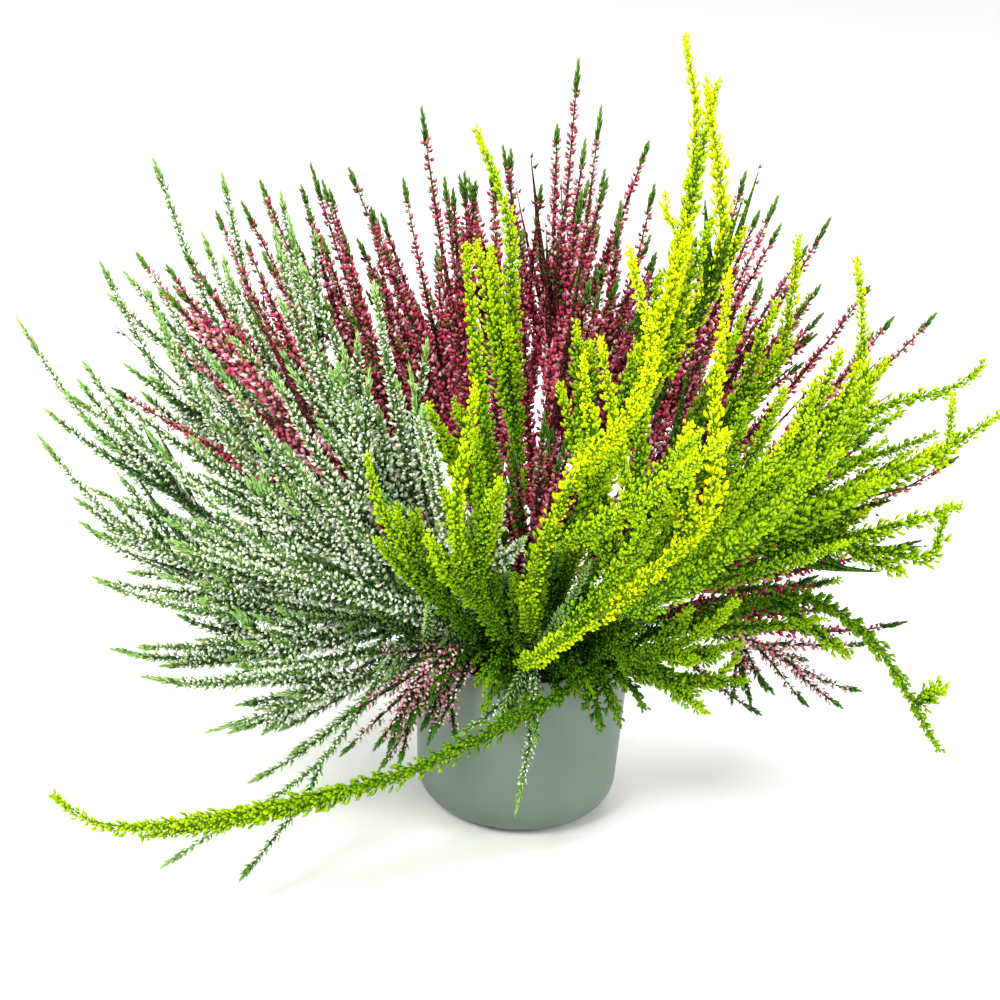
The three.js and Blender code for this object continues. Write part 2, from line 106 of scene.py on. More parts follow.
def turned(profile, steps):
    """A shape turned about the Z axis from a profile of [radius, height] points."""
    shape = bmesh.new()
    points = [shape.verts.new((radius, 0, height)) for radius, height in profile]
    edges = [shape.edges.new(pair) for pair in zip(points, points[1:])]
    bmesh.ops.spin(shape, geom=points + edges, cent=(0, 0, 0), axis=(0, 0, 1), angle=2 * math.pi,
                   steps=steps, use_merge=True)
    bmesh.ops.remove_doubles(shape, verts=shape.verts, dist=1e-7)
    bmesh.ops.recalc_face_normals(shape, faces=shape.faces)
    return shape


def add_object(name, mesh, finishes):
    """An object that shows a mesh in its finishes."""
    for finish in finishes:
        mesh.materials.append(finish)
    piece = bpy.data.objects.new(name, mesh)
    bpy.context.scene.collection.objects.link(piece)
    return piece


def new_piece(name, shape, finish):
    """An object from a shape that is being modelled, in one finish."""
    mesh = bpy.data.meshes.new(name)
    shape.to_mesh(mesh)
    shape.free()
    return add_object(name, mesh, [finish])


def place_piece(piece, node):
    """Puts a finished piece on the frame in place of its solid."""
    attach(piece, "root")
    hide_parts(node)


def rounded_edge(radius, centre_radius, centre_height, steps):
    """The pot's bottom edge, from the flat underside up to the side."""
    angles = [-math.pi / 2 + math.pi / 2 * i / steps for i in range(steps + 1)]
    return [(centre_radius + radius * math.cos(a), centre_height + radius * math.sin(a)) for a in angles]


def moulded_polypropylene():
    """Injection-moulded polypropylene: the mould's fine texture gives a satin skin with broad, soft
    highlights, the sage pigment is faintly cloudy, the upper half is paler and warmer from painted
    light, and the foot is darker in patches."""
    material, tree, shader, at = new_finish("moulded_polypropylene")
    cloud = add_node(tree, "ShaderNodeTexNoise", inputs={
        "Vector": at, "Scale": 1 / (PIGMENT_CLOUD * MM), "Detail": 3})
    patches = add_node(tree, "ShaderNodeTexNoise", inputs={
        "Vector": at, "Scale": 1 / (PATCH_SIZE * MM), "Detail": 5})
    place = add_node(tree, "ShaderNodeSeparateXYZ", inputs={0: at})
    low = add_node(tree, "ShaderNodeMapRange", inputs={
        "Value": place.outputs["Z"], "From Min": 0.0, "From Max": DARK_FOOT_HEIGHT * MM,
        "To Min": 0.7, "To Max": 0.0})
    # The upper half is painted paler and warmer: painted light.
    lit_from_above = add_node(tree, "ShaderNodeMapRange", inputs={
        "Value": place.outputs["Z"], "From Min": 0.5 * POT_HEIGHT * MM, "From Max": POT_HEIGHT * MM,
        "To Min": 0.0, "To Max": 0.6})
    sage = add_node(tree, "ShaderNodeMix", {"data_type": "RGBA"}, {
        0: cloud.outputs["Fac"], 6: linear(POT_SAGE), 7: linear(POT_PALE)})
    lit_upper = add_node(tree, "ShaderNodeMix", {"data_type": "RGBA"}, {
        0: lit_from_above.outputs["Result"], 6: sage.outputs[2], 7: linear(POT_LIT_WARM)})
    # Towards the foot the colour is darker in patches.
    darker_foot = add_node(tree, "ShaderNodeMath", {"operation": "MULTIPLY"}, {
        0: low.outputs["Result"], 1: patches.outputs["Fac"]})
    colour = add_node(tree, "ShaderNodeMix", {"data_type": "RGBA"}, {
        0: darker_foot.outputs[0], 6: lit_upper.outputs[2], 7: linear(POT_DARK_FOOT)})
    rough = add_node(tree, "ShaderNodeMapRange", inputs={
        "Value": patches.outputs["Fac"], "To Min": 0.34, "To Max": 0.5})
    # The mould's real texture is about 0.1 mm, drawn coarser here so that it shows.
    grain = add_node(tree, "ShaderNodeTexNoise", inputs={
        "Vector": at, "Scale": 1 / (MOULD_GRAIN * MM), "Detail": 2})
    bump = add_node(tree, "ShaderNodeBump", inputs={
        "Strength": 0.25, "Distance": 0.15 * MM, "Height": grain.outputs["Fac"]})
    feed(shader, {"Base Color": colour.outputs[2], "Roughness": rough.outputs["Result"],
                  "Normal": bump.outputs["Normal"]})
    return material


edge_centre = POT_LOW_RADIUS - POT_EDGE_RADIUS
pot_profile = [
    (0, 0),
    *rounded_edge(POT_EDGE_RADIUS, edge_centre, POT_EDGE_RADIUS, 12),
    (POT_TOP_RADIUS, POT_HEIGHT),
    (POT_TOP_RADIUS - POT_WALL, POT_HEIGHT),
    *rounded_edge(POT_EDGE_RADIUS - POT_WALL, edge_centre, POT_EDGE_RADIUS, 12)[::-1],
    (0, POT_WALL),
]
pot_shape = turned([(r * MM, z * MM) for r, z in pot_profile], 96)
lip = [edge for edge in pot_shape.edges
       if all(abs(v.co.z - POT_HEIGHT * MM) < 1e-6 for v in edge.verts)
       and len(edge.link_faces) == 2 and edge.calc_face_angle() > 1.0]
bmesh.ops.bevel(pot_shape, geom=lip, offset=LIP_ROUNDING * MM, offset_type="OFFSET", segments=3,
                profile=0.5, affect="EDGES", material=-1)
pot_finish = moulded_polypropylene()
pot = new_piece("pot_body", pot_shape, pot_finish)
drill_shape = bmesh.new()
for hole in range(DRAIN_COUNT):
    turn = Matrix.Rotation(math.pi * 2 / DRAIN_COUNT * (hole + 0.5), 4, "Z")
    placed = turn @ Matrix.Translation((DRAIN_CIRCLE * MM, 0, 0))
    bmesh.ops.create_cone(drill_shape, cap_ends=True, segments=32, radius1=DRAIN_RADIUS * MM,
                          radius2=DRAIN_RADIUS * MM, depth=8 * MM, matrix=placed)
drill = new_piece("drill", drill_shape, pot_finish)
drains = pot.modifiers.new("drains", "BOOLEAN")
drains.object = drill
drains.operation = "DIFFERENCE"
bpy.context.view_layer.update()
drilled_mesh = bpy.data.meshes.new_from_object(pot.evaluated_get(bpy.context.evaluated_depsgraph_get()))
pot.modifiers.clear()
pot.data = drilled_mesh
bpy.data.objects.remove(drill)
pot.data.shade_smooth()
pot.data.set_sharp_from_angle(angle=math.radians(35))
place_piece(pot, "pot")


# --- Soil -------------------------------------------------------------------------------------------
# Dark, peaty potting soil with bark crumbs, pressed into the pot and slightly heaped in the middle.
# The stems of all three plants are rooted in it.

SOIL_LEVEL = 86
SOIL_HEAP = 2
SOIL_GAP = 0.4
SOIL_DARK = "120C08"
SOIL_BROWN = "3B2A1C"
SOIL_FIBRE = "6A5238"
LUMP_SIZE = 4
RIM_SLOPE = 1
HEAP_STEPS = 24
CRUMB_COUNT = 420
CRUMB_CIRCLE = 54
CRUMB_LEVEL = 1.2
CRUMB_SEED = 3
SOIL_TAPER = 1.2
# Waves per metre and height in mm of the lumps, about 6 mm across, and of the crumbs, about 2 mm.
ROUGHNESS = ((160, 1.6), (420, 1.0))


def crumbled_peat():
    """Crumbled peat with composted bark: wet, so very dark, with a few lighter brown fibres and lumps
    that keep the surface quite matt."""
    material, tree, shader, at = new_finish("crumbled_peat")
    lumps = add_node(tree, "ShaderNodeTexNoise", inputs={
        "Vector": at, "Scale": 1 / (LUMP_SIZE * MM), "Detail": 6, "Roughness": 0.7})
    colour = add_node(tree, "ShaderNodeValToRGB", inputs={"Fac": lumps.outputs["Fac"]},
                      shades=[SOIL_DARK, SOIL_DARK, SOIL_BROWN, SOIL_FIBRE])
    bump = add_node(tree, "ShaderNodeBump", inputs={
        "Strength": 0.8, "Distance": 1.5 * MM, "Height": lumps.outputs["Fac"]})
    feed(shader, {"Base Color": colour.outputs["Color"], "Roughness": 0.95,
                  "Normal": bump.outputs["Normal"]})
    return material


soil_edge = POT_TOP_RADIUS - POT_WALL - SOIL_GAP - SOIL_TAPER
soil_low = SOIL_LEVEL - RIM_SLOPE
outward = [1 - i / HEAP_STEPS for i in range(1, HEAP_STEPS)]
soil_shape = turned([(r * MM, z * MM) for r, z in [
    (0, POT_WALL + SOIL_GAP),
    *rounded_edge(POT_EDGE_RADIUS - POT_WALL - SOIL_GAP, edge_centre, POT_EDGE_RADIUS, 4),
    (soil_edge, soil_low),
    *[(soil_edge * part, soil_low + (SOIL_HEAP + RIM_SLOPE) * (1 - part ** 2)) for part in outward],
    (0, SOIL_LEVEL + SOIL_HEAP),
]], 72)
for vert in soil_shape.verts:
    across = math.hypot(vert.co.x, vert.co.y)
    if vert.co.z > (SOIL_LEVEL - 0.5) * MM and across < (soil_edge - 1) * MM:
        vert.co.z += sum(noise.noise(vert.co * waves) * height for waves, height in ROUGHNESS) * MM
crumb_series = np.random.default_rng(CRUMB_SEED)
for _ in range(CRUMB_COUNT):
    reach = CRUMB_CIRCLE * MM * math.sqrt(crumb_series.random())
    turn = crumb_series.uniform(0, 2 * math.pi)
    size = crumb_series.uniform(0.5, 1.8) * MM
    at = Vector((reach * math.cos(turn), reach * math.sin(turn), (SOIL_LEVEL + CRUMB_LEVEL) * MM))
    tumbled = Matrix.Rotation(turn * 7, 4, Vector(crumb_series.normal(size=3)))
    flattened = Matrix.Diagonal((1, 0.7, 0.45, 1))
    bmesh.ops.create_icosphere(soil_shape, subdivisions=1, radius=size,
                               matrix=Matrix.Translation(at) @ tumbled @ flattened)
soil = new_piece("soil_surface", soil_shape, crumbled_peat())
place_piece(soil, "soil")


# --- Stems ------------------------------------------------------------------------------------------
# Thin woody stems with tan bark. Each stands upright in the soil, then leans out from the crown of
# the plant by the same rule as its solid, and carries side shoots that run on beside it.

CROWN = np.array([0.0, 0.0, 90.0])
UP = np.array([0.0, 0.0, 1.0])
FOOT_LEVEL = 70.4
FOOT_CIRCLE = 46
STEM_FOOT_RADIUS = 1.4
STEM_BURIED = SOIL_LEVEL + SOIL_HEAP - FOOT_LEVEL
STEM_STEP = 15
# Balls along each stem keep it clear of the others, of its neighbours' holes and of the pot's rim.
GUARD_STEP = 7
GUARD_GAP = 0.35
RIM_GAP = 0.8
HOLE_GUARD = 2.4
LINE_STEPS = 16
TRIES = 400
STIFF_TRIES = 80
STEM_SEED = 7
FOOT_SHIFT = 9
LOOK_AHEAD = 6
# Side shoots: the share of its length that one is bare for, how far it spreads for the stem's length,
# how widely it sets out, and how far its end turns up.
FORK_BARE = 0.1
FORK_LIFT = 0.3
SHOOT_BARE = 0.14
SHOOT_SPREAD = 0.14
SHOOT_FLARE = 1.3
SHOOT_LIFT = 0.15

# bare: length without cover, width and step: of the cover and of its points, tip: the cover's share of
# that width at the tip, shoots: side shoots on each stem.
COVERS = {
    "white": {"bare": 62, "width": 5.4, "step": 18, "tip": 0.3, "shoots": 2},
    "crimson": {"bare": 66, "width": 5.2, "step": 17, "tip": 0.25, "shoots": 1},
    "pink": {"bare": 40, "width": 4.6, "step": 11, "tip": 0.4, "shoots": 2},
    "lime": {"bare": 52, "width": 7.6, "step": 15, "tip": 0.28, "shoots": 1},
}

# tip and via: the stem's end and the places it passes, lift: how far its end turns up, slim: its share
# of the usual width, forks: side shoots that leave it at a share of its length, shoots: other ones.
STEMS = {
    "white": [
        {"tip": (-279, 10, 264), "via": [(-197, 0, 173)], "lift": 0.4},
        {"tip": (-264, -15, 207), "via": [(-190, -22, 144)], "lift": 0.3},
        {"tip": (-254, 40, 138), "lift": 0.6},
        {"tip": (-226, -60, 146), "lift": 0.4},
        {"tip": (-240, 40, 288), "via": [(-174, 20, 190)], "lift": 0.1},
        {"tip": (-209, 30, 348), "via": [(-154, 18, 228)], "lift": 0.1},
        {"tip": (-193, -60, 291), "via": [(-148, -70, 219)], "lift": 0.15},
        {"tip": (-179, 0, 317), "via": [(-132, -20, 226)], "lift": 0.1},
        {"tip": (-126, -70, 343), "via": [(-96, -76, 245)], "lift": 0.5},
        {"tip": (-222, -40, 98), "lift": 0.5},
        {"tip": (-192, -115, 118), "lift": 0.5},
        {"tip": (-164, -92, 76), "lift": 0.1},
        {"tip": (-187, -125, 252), "via": [(-128, -125, 193)], "lift": 0.4},
        {"tip": (-162, -105, 287), "via": [(-107, -125, 225)]},
        {"tip": (-63, -120, 287), "via": [(-47, -120, 219)]},
        {"tip": (-169, 120, 250)},
        {"tip": (-204, 115, 165), "lift": 0.4},
        {"tip": (-176, -150, 28), "via": [(-62, -46, 112), (-104, -100, 64)], "lift": -0.1, "slim": 0.6,
         "shoots": 0, "forks": [{"from": 0.4, "tip": (-140, -92, 48)}]},
        {"tip": (0, -86, 33), "via": [(5, -66, 108), (5, -80, 74)], "lift": -0.3, "slim": 0.65,
         "shoots": 0, "forks": [{"from": 0.35, "tip": (-34, -88, 78)}]},
    ],
    "crimson": [
        {"tip": (-211, -10, 307), "via": [(-131, -75, 251)], "lift": 0.3, "shoots": 0,
         "forks": [{"from": 0.55, "tip": (-192, -30, 306)}]},
        {"tip": (-176, 30, 322), "via": [(-121, -45, 253)], "lift": 0.15, "shoots": 0,
         "forks": [{"from": 0.35, "tip": (-190, 10, 304)}]},
        {"tip": (-124, 10, 354), "shoots": 0, "forks": [{"from": 0.35, "tip": (-154, 45, 336)}]},
        {"tip": (-80, 90, 332), "forks": [{"from": 0.35, "tip": (-94, 70, 315)}]},
        {"tip": (-68, 20, 384)},
        {"tip": (-21, 60, 357), "forks": [{"from": 0.45, "tip": (-31, 45, 351)}]},
        {"tip": (12, 40, 410), "forks": [{"from": 0.45, "tip": (3, 45, 374)}]},
        {"tip": (28, 110, 375), "forks": [{"from": 0.4, "tip": (-5, 95, 315)}]},
        {"tip": (3, -60, 248), "lift": 0.5},
        {"tip": (59, 80, 338)},
        {"tip": (125, 60, 340), "shoots": 0, "forks": [{"from": 0.45, "tip": (108, 75, 349)}]},
        {"tip": (162, 110, 319), "shoots": 0, "forks": [{"from": 0.45, "tip": (157, 90, 284)}]},
        {"tip": (218, 60, 279), "shoots": 0, "forks": [{"from": 0.5, "tip": (187, 75, 262)}]},
        {"tip": (243, 70, 194)},
        {"tip": (223, 60, 95), "lift": 0.3},
        {"tip": (-49, 175, 270)},
        {"tip": (66, 180, 265)},
        {"tip": (-104, 190, 180), "lift": 0.4},
    ],
    "pink": [
        {"tip": (160, -10, 70), "via": [(62, -8, 118), (118, -12, 112)], "shoots": 0,
         "forks": [{"from": 0.6, "tip": (126, -30, 78)}, {"from": 0.62, "tip": (193, 18, 68)}]},
        {"tip": (-92, -95, 68), "via": [(-40, -64, 113), (-66, -84, 94)], "lift": 0, "shoots": 0,
         "forks": [{"from": 0.4, "tip": (-48, -84, 72)}, {"from": 0.55, "tip": (-75, -104, 77)}]},
    ],
    "lime": [
        {"tip": (61, -30, 435), "via": [(62, -40, 304), (70, -34, 389)], "shoots": 0,
         "forks": [{"from": 0.4, "via": [(81, -62, 324), (81, -66, 367)], "tip": (71, -62, 418)}]},
        {"tip": (-37, -70, 390), "via": [(-15, -60, 290), (-21, -68, 349)], "shoots": 0,
         "forks": [{"from": 0.45, "tip": (-28, -85, 337)}]},
        {"tip": (-39, -110, 343), "via": [(-31, -100, 280)]},
        {"tip": (-31, -150, 288), "via": [(-36, -138, 205)], "shoots": 0,
         "forks": [{"from": 0.35, "tip": (-50, -150, 213)}, {"from": 0.5, "tip": (-18, -152, 244)}]},
        {"tip": (-81, -130, 245), "via": [(-65, -125, 200)], "lift": 0.4, "shoots": 0,
         "forks": [{"from": 0.5, "tip": (-66, -140, 221)}]},
        {"tip": (24, -162, 317), "via": [(50, -128, 195), (38, -153, 255)],
         "forks": [{"from": 0.4, "tip": (18, -130, 298)}]},
        {"tip": (31, -225, 372),
         "via": [(-1, -100, 165), (15, -140, 237), (32, -175, 276), (45, -205, 318)]},
        {"tip": (75, -200, 359),
         "via": [(9, -108, 138), (46, -158, 192), (76, -190, 250), (74, -196, 305)],
         "forks": [{"from": 0.6, "tip": (63, -200, 289)}]},
        {"tip": (53, -100, 368), "via": [(58, -95, 318)],
         "forks": [{"from": 0.5, "tip": (64, -110, 356)}]},
        {"tip": (126, -30, 338), "via": [(112, -28, 251), (125, -30, 302)],
         "forks": [{"from": 0.5, "tip": (116, -48, 308)}]},
        {"tip": (150, -70, 337), "via": [(148, -75, 241), (156, -74, 295)], "shoots": 2,
         "forks": [{"from": 0.5, "tip": (144, -90, 298)}]},
        {"tip": (124, -150, 299), "via": [(113, -140, 231)], "shoots": 2,
         "forks": [{"from": 0.45, "tip": (109, -158, 296)}]},
        {"tip": (229, -20, 276), "via": [(165, -15, 233), (212, -19, 258)], "lift": 0.8, "shoots": 0},
        {"tip": (209, -50, 266), "via": [(177, -50, 217), (207, -50, 230)],
         "forks": [{"from": 0.5, "via": [(178, -70, 186), (202, -72, 186)], "tip": (208, -72, 213)}]},
        {"tip": (212, -110, 95), "via": [(68, -38, 120), (137, -60, 154), (177, -85, 142)], "lift": 0,
         "shoots": 0, "forks": [{"from": 0.86, "tip": (208, -112, 132)}]},
        {"tip": (-220, -195, 91), "via": [(34, -68, 106), (-60, -125, 74), (-162, -180, 69)],
         "lift": 0.8, "shoots": 0},
        {"tip": (97, -150, 188), "lift": 0.5, "shoots": 2,
         "forks": [{"from": 0.2, "via": [(84, -100, 120)], "tip": (106, -108, 141)}]},
        {"tip": (156, 120, 270)},
        {"tip": (201, 100, 150), "lift": 0.4},
    ],
}


def seeded_series(seed):
    """A repeatable series of numbers from 0 to 1."""
    state = seed
    while True:
        state = (state * 1664525 + 1013904223) % 4294967296
        yield state / 4294967296


def random_offset(series, reach):
    """An offset of up to reach each way."""
    return np.array([(next(series) - 0.5) * 2 * reach for _ in range(3)])


def unit(way):
    """A direction made one long."""
    return way / np.linalg.norm(way)


def units(ways):
    """Rows of directions, each made one long."""
    return ways / np.linalg.norm(ways, axis=1)[:, None]


def square_to(side, way):
    """The direction square to a way that is nearest to a side."""
    return unit(side - way * np.dot(side, way))


def smooth_line(points, start, lift):
    """A smooth line that leaves its first point along start and ends turned upward by lift."""
    last = len(points) - 1
    tangents = [start] + [(points[i + 1] - points[i - 1]) * 0.5 for i in range(1, last)]
    run = points[last] - points[last - 1]
    tangents.append(run + UP * (lift * np.linalg.norm(run)))
    line = [points[0]]
    for i in range(last):
        for step in range(1, LINE_STEPS + 1):
            t = step / LINE_STEPS
            t2 = t * t
            t3 = t2 * t
            line.append(points[i] * (2 * t3 - 3 * t2 + 1) + tangents[i] * (t3 - 2 * t2 + t)
                        + points[i + 1] * (3 * t2 - 2 * t3) + tangents[i + 1] * (t3 - t2))
    return np.array(line)


def new_stem(kind, line, width, bare_part=None):
    """A stem along a line. A side shoot is bare for a part of its length, a main stem for a set length."""
    reached = np.concatenate([[0], np.cumsum(np.linalg.norm(np.diff(line, axis=0), axis=1))])
    length = reached[-1]
    is_shoot = bare_part is not None
    return {"kind": kind, "line": line, "reached": reached, "length": length, "width": width,
            "is_shoot": is_shoot, "bare": bare_part * length if is_shoot else COVERS[kind]["bare"]}


def along_line(stem, rows, distance):
    """What rows say of a stem's line, at one or more distances along it."""
    return np.stack([np.interp(distance, stem["reached"], rows[:, i]) for i in range(3)], -1)


def point_along(stem, distance):
    """The point or points at a distance along a stem."""
    return along_line(stem, stem["line"], distance)


def way_between(stem, near, far):
    """The direction from one distance along a stem to another."""
    return unit(point_along(stem, far) - point_along(stem, near))


def line_beside(stem, leave, end, side, spread, flare, lift, look=LOOK_AHEAD):
    """A line that leaves a stem at one distance and runs on beside it, spread to one side at its end."""
    side = square_to(side, way_between(stem, end - look, end))
    start = way_between(stem, leave, leave + look) * (0.8 * (end - leave)) + side * (flare * spread)
    return smooth_line([point_along(stem, leave), point_along(stem, end) + side * spread], start, lift)


def cover_radius(stem, distance):
    """The radius of a stem with its leaves and buds: it swells past the bare part, then tapers."""
    part = (distance - stem["bare"]) / (stem["length"] - stem["bare"])
    swell = np.minimum(0.6 + 3 * part, 1)
    covered = stem["width"] * swell * (1 - (1 - COVERS[stem["kind"]]["tip"]) * part * part)
    return np.where(part < 0, STEM_FOOT_RADIUS, covered)


def ring_distances(stem):
    """Distances of the rings that the solid stem is built of, where side shoots may grow."""
    distances = [0.0]
    if not stem["is_shoot"]:
        steps = math.floor((stem["bare"] - STEM_BURIED) / STEM_STEP + 0.5)
        distances += [STEM_BURIED + (stem["bare"] - STEM_BURIED) * i / steps for i in range(steps)]
    covered = stem["length"] - stem["bare"]
    steps = max(3, math.floor(covered / COVERS[stem["kind"]]["step"] + 0.5))
    distances += [stem["bare"] + covered * i / steps for i in range(steps)]
    return np.array(distances)


def nearest_ring(stem, part):
    """The distance of the ring nearest to a part of the stem's length."""
    distances = ring_distances(stem)
    return distances[np.argmin(np.abs(distances - part * stem["length"]))]


def guard_balls(stem):
    """Balls along a stem that other stems keep clear of, as rows of x, y, z and radius."""
    count = math.ceil(stem["length"] / GUARD_STEP)
    distance = stem["length"] * np.arange(count + 1) / count
    radius = np.maximum(cover_radius(stem, distance), cover_radius(stem, distance - GUARD_STEP))
    if not stem["is_shoot"]:
        radius = np.where(distance < STEM_BURIED + 5, HOLE_GUARD, radius)
    return np.column_stack([point_along(stem, distance), radius + GUARD_GAP])


def clears(balls, others):
    """Whether balls clear the pot's wall and rim and the balls of other stems."""
    across = np.hypot(balls[:, 0], balls[:, 1])
    radius = balls[:, 3]
    inside = across + radius < POT_TOP_RADIUS - POT_WALL - RIM_GAP
    if not (inside | (balls[:, 2] - radius > POT_HEIGHT) | (across - radius > POT_TOP_RADIUS)).all():
        return False
    if len(others) == 0:
        return True
    gaps = np.linalg.norm(balls[:, None, :3] - others[None, :, :3], axis=2)
    return bool((gaps >= radius[:, None] + others[None, :, 3]).all())


def lean_of(place):
    """How far a place leans from the crown, from 0 straight above it to 1 beside or below it."""
    away = place - CROWN
    return math.atan2(math.hypot(away[0], away[1]), max(away[2], 0)) / (math.pi / 2)


def foot_place(target):
    """Where a stem that heads for a target leaves the soil: the more it leans, the further out."""
    away = target - CROWN
    flat = math.hypot(away[0], away[1])
    circle = FOOT_CIRCLE * lean_of(target) ** 0.75
    return np.array([circle * away[0] / flat, circle * away[1] / flat, SOIL_LEVEL + SOIL_HEAP])


def grow_main(kind, spec, series, others):
    """A main stem that clears the others: it bends further the more tries that takes."""
    ends = [np.array(place, float) for place in (*spec.get("via", []), spec["tip"])]
    for attempt in range(TRIES):
        bend = min(attempt / STIFF_TRIES, 1)
        shift = random_offset(series, FOOT_SHIFT * bend)
        shift[2] = 0
        foot = foot_place(ends[0]) + shift
        reach = np.linalg.norm(foot - ends[0])
        rise = (0.3 + 0.45 * lean_of(ends[0]) ** 3) * reach
        start = UP * rise + random_offset(series, 0.5 * reach * bend)
        start[2] = max(start[2], 0.3 * reach)
        arch = smooth_line([foot, *ends], start, spec.get("lift", 0.2))
        line = np.vstack([[foot[0], foot[1], FOOT_LEVEL], arch])
        stem = new_stem(kind, line, COVERS[kind]["width"] * spec.get("slim", 1))
        if clears(guard_balls(stem), others):
            return stem
    return None


def grow_fork(main, fork, series, others):
    """A side shoot to a set tip, from a set part of the main stem."""
    ring = nearest_ring(main, fork["from"])
    foot = point_along(main, ring)
    ends = [np.array(place, float) for place in (*fork.get("via", []), fork["tip"])]
    reach = np.linalg.norm(foot - ends[0])
    ahead = way_between(main, ring, ring + LOOK_AHEAD) * (0.7 * reach)
    for attempt in range(TRIES):
        bend = min(attempt / STIFF_TRIES, 1)
        start = ahead + random_offset(series, reach * bend)
        line = smooth_line([foot, *ends], start, FORK_LIFT)
        shoot = new_stem(main["kind"], line, main["width"], FORK_BARE)
        if clears(guard_balls(shoot), others):
            return shoot
    return None


def grow_shoot(main, index, series, others):
    """A side shoot that runs on beside the main stem, where there is room for it."""
    for _ in range(TRIES):
        ring = nearest_ring(main, 0.34 + 0.16 * index + 0.1 * next(series))
        end = main["length"] * (0.68 + 0.24 * next(series))
        side = random_offset(series, 1)
        spread = SHOOT_SPREAD * main["length"] * (0.8 + 0.5 * next(series))
        line = line_beside(main, ring, end, side, spread, SHOOT_FLARE, SHOOT_LIFT)
        shoot = new_stem(main["kind"], line, main["width"], SHOOT_BARE)
        balls = guard_balls(shoot)
        low = (balls[:, 2] < balls[:, 3] + 3).any()
        if not low and clears(balls, others):
            return shoot
    return None


def grow_plants():
    """All sprays, each with its main stem and its side shoots, in millimetres. Stems with a set way grow
    first."""
    series = seeded_series(STEM_SEED)
    sprays = [{"name": f"{kind}_spray_{number:02d}", "kind": kind, "number": number, "spec": spec,
               "stems": []} for kind, specs in STEMS.items() for number, spec in enumerate(specs, 1)]
    sprays.sort(key=lambda spray: "via" not in spray["spec"])
    guards = []
    for spray in sprays:
        main = grow_main(spray["kind"], spray["spec"], series, np.vstack(guards) if guards else [])
        guards.append(guard_balls(main))
        spray["stems"].append(main)

    def add_shoot(own, grow, how):
        others = np.vstack([balls for i, balls in enumerate(guards) if i != own])
        shoot = grow(sprays[own]["stems"][0], how, series, others)
        if shoot:
            sprays[own]["stems"].append(shoot)
            guards[own] = np.vstack([guards[own], guard_balls(shoot)])

    for own, spray in enumerate(sprays):
        for fork in spray["spec"].get("forks", []):
            add_shoot(own, grow_fork, fork)
    for index in range(max(cover["shoots"] for cover in COVERS.values())):
        for own, spray in enumerate(sprays):
            if index < spray["spec"].get("shoots", COVERS[spray["kind"]]["shoots"]):
                add_shoot(own, grow_shoot, index)
    return sprays


def frames_along(stem, distances):
    """Places along a stem, the way ahead there and a way across it, which doesn't twist."""
    ahead = units(np.gradient(stem["line"], stem["reached"], axis=0))
    across = np.empty_like(ahead)
    side = np.array([0.31, 0.95, 0.02])
    for i, way in enumerate(ahead):
        side = square_to(side, way)
        across[i] = side
    ways = units(along_line(stem, ahead, distances))
    sides = along_line(stem, across, distances)
    return point_along(stem, distances), ways, units(sides - ways * (sides * ways).sum(1)[:, None])


def leaning_out(stem, distances, turns, angle):
    """Places along a stem, ways straight out from it at turns round it, and the two ways of what leans
    out there by an angle."""
    places, ways, sides = frames_along(stem, distances)
    outs = np.cos(turns)[:, None] * sides + np.sin(turns)[:, None] * np.cross(ways, sides)
    leaning = np.cos(angle)[:, None] * ways + np.sin(angle)[:, None] * outs
    return places, outs, leaning, np.cross(np.cross(ways, outs), leaning)


def whorls_along(start, end, pitch, per, waver, twist, chance):
    """Distances and turns of what stands in uneven whorls, each half a step round from the last."""
    whorls = np.arange(start, end, pitch)
    distances = np.repeat(whorls, per) + chance.uniform(-waver, waver, len(whorls) * per)
    turns = (np.repeat(np.arange(len(whorls)) * math.pi / per, per)
             + np.tile(np.arange(per) * 2 * math.pi / per, len(whorls))
             + chance.normal(0, twist, len(distances)))
    return distances, turns


def template(shape):
    """A small shape as corners and triangles, with how far along and how far round each corner is."""
    bmesh.ops.triangulate(shape, faces=shape.faces)
    shape.verts.index_update()
    corners = np.array([vert.co for vert in shape.verts])
    faces = np.array([[vert.index for vert in face.verts] for face in shape.faces])
    shape.free()
    around = np.abs(np.arctan2(corners[:, 1], corners[:, 0])) / math.pi
    return {"corners": corners, "faces": faces, "along": corners[:, 2].copy(), "around": around}


def set_out(heap, shape, roots, ways, outs, lengths, widths, tints, finish):
    """Adds copies of a small shape, each from its root along its way, to a heap of growth."""
    if len(roots) == 0:
        return
    x, y, z = shape["corners"].T
    sides = np.cross(ways, outs)
    lengths = np.reshape(lengths, (-1, 1))
    widths = np.reshape(widths, (-1, 1))
    corners = (roots[:, None] + (lengths * z)[..., None] * ways[:, None]
               + (widths * x)[..., None] * outs[:, None] + (widths * y)[..., None] * sides[:, None])
    add_growth(heap, shape, corners, tints, finish)


def add_growth(heap, shape, corners, tints, finish):
    """Adds placed copies with their map: across it the tint, up it the way along, in a finish's band."""
    copies, size = corners.shape[:2]
    faces = shape["faces"][None] + size * np.arange(copies)[:, None, None]
    across = 0.02 + 0.9 * np.clip(np.reshape(tints, (copies, -1)), 0, 1) + 0.06 * shape["around"][None]
    inside = finish + BAND_EDGE + (1 - 2 * BAND_EDGE) * shape["along"]
    up = np.broadcast_to(inside / len(BANDS), across.shape)
    heap.append({"corners": corners.reshape(-1, 3), "faces": faces.reshape(-1, 3), "finish": finish,
                 "map": np.stack([across, up], -1).reshape(-1, 2)})


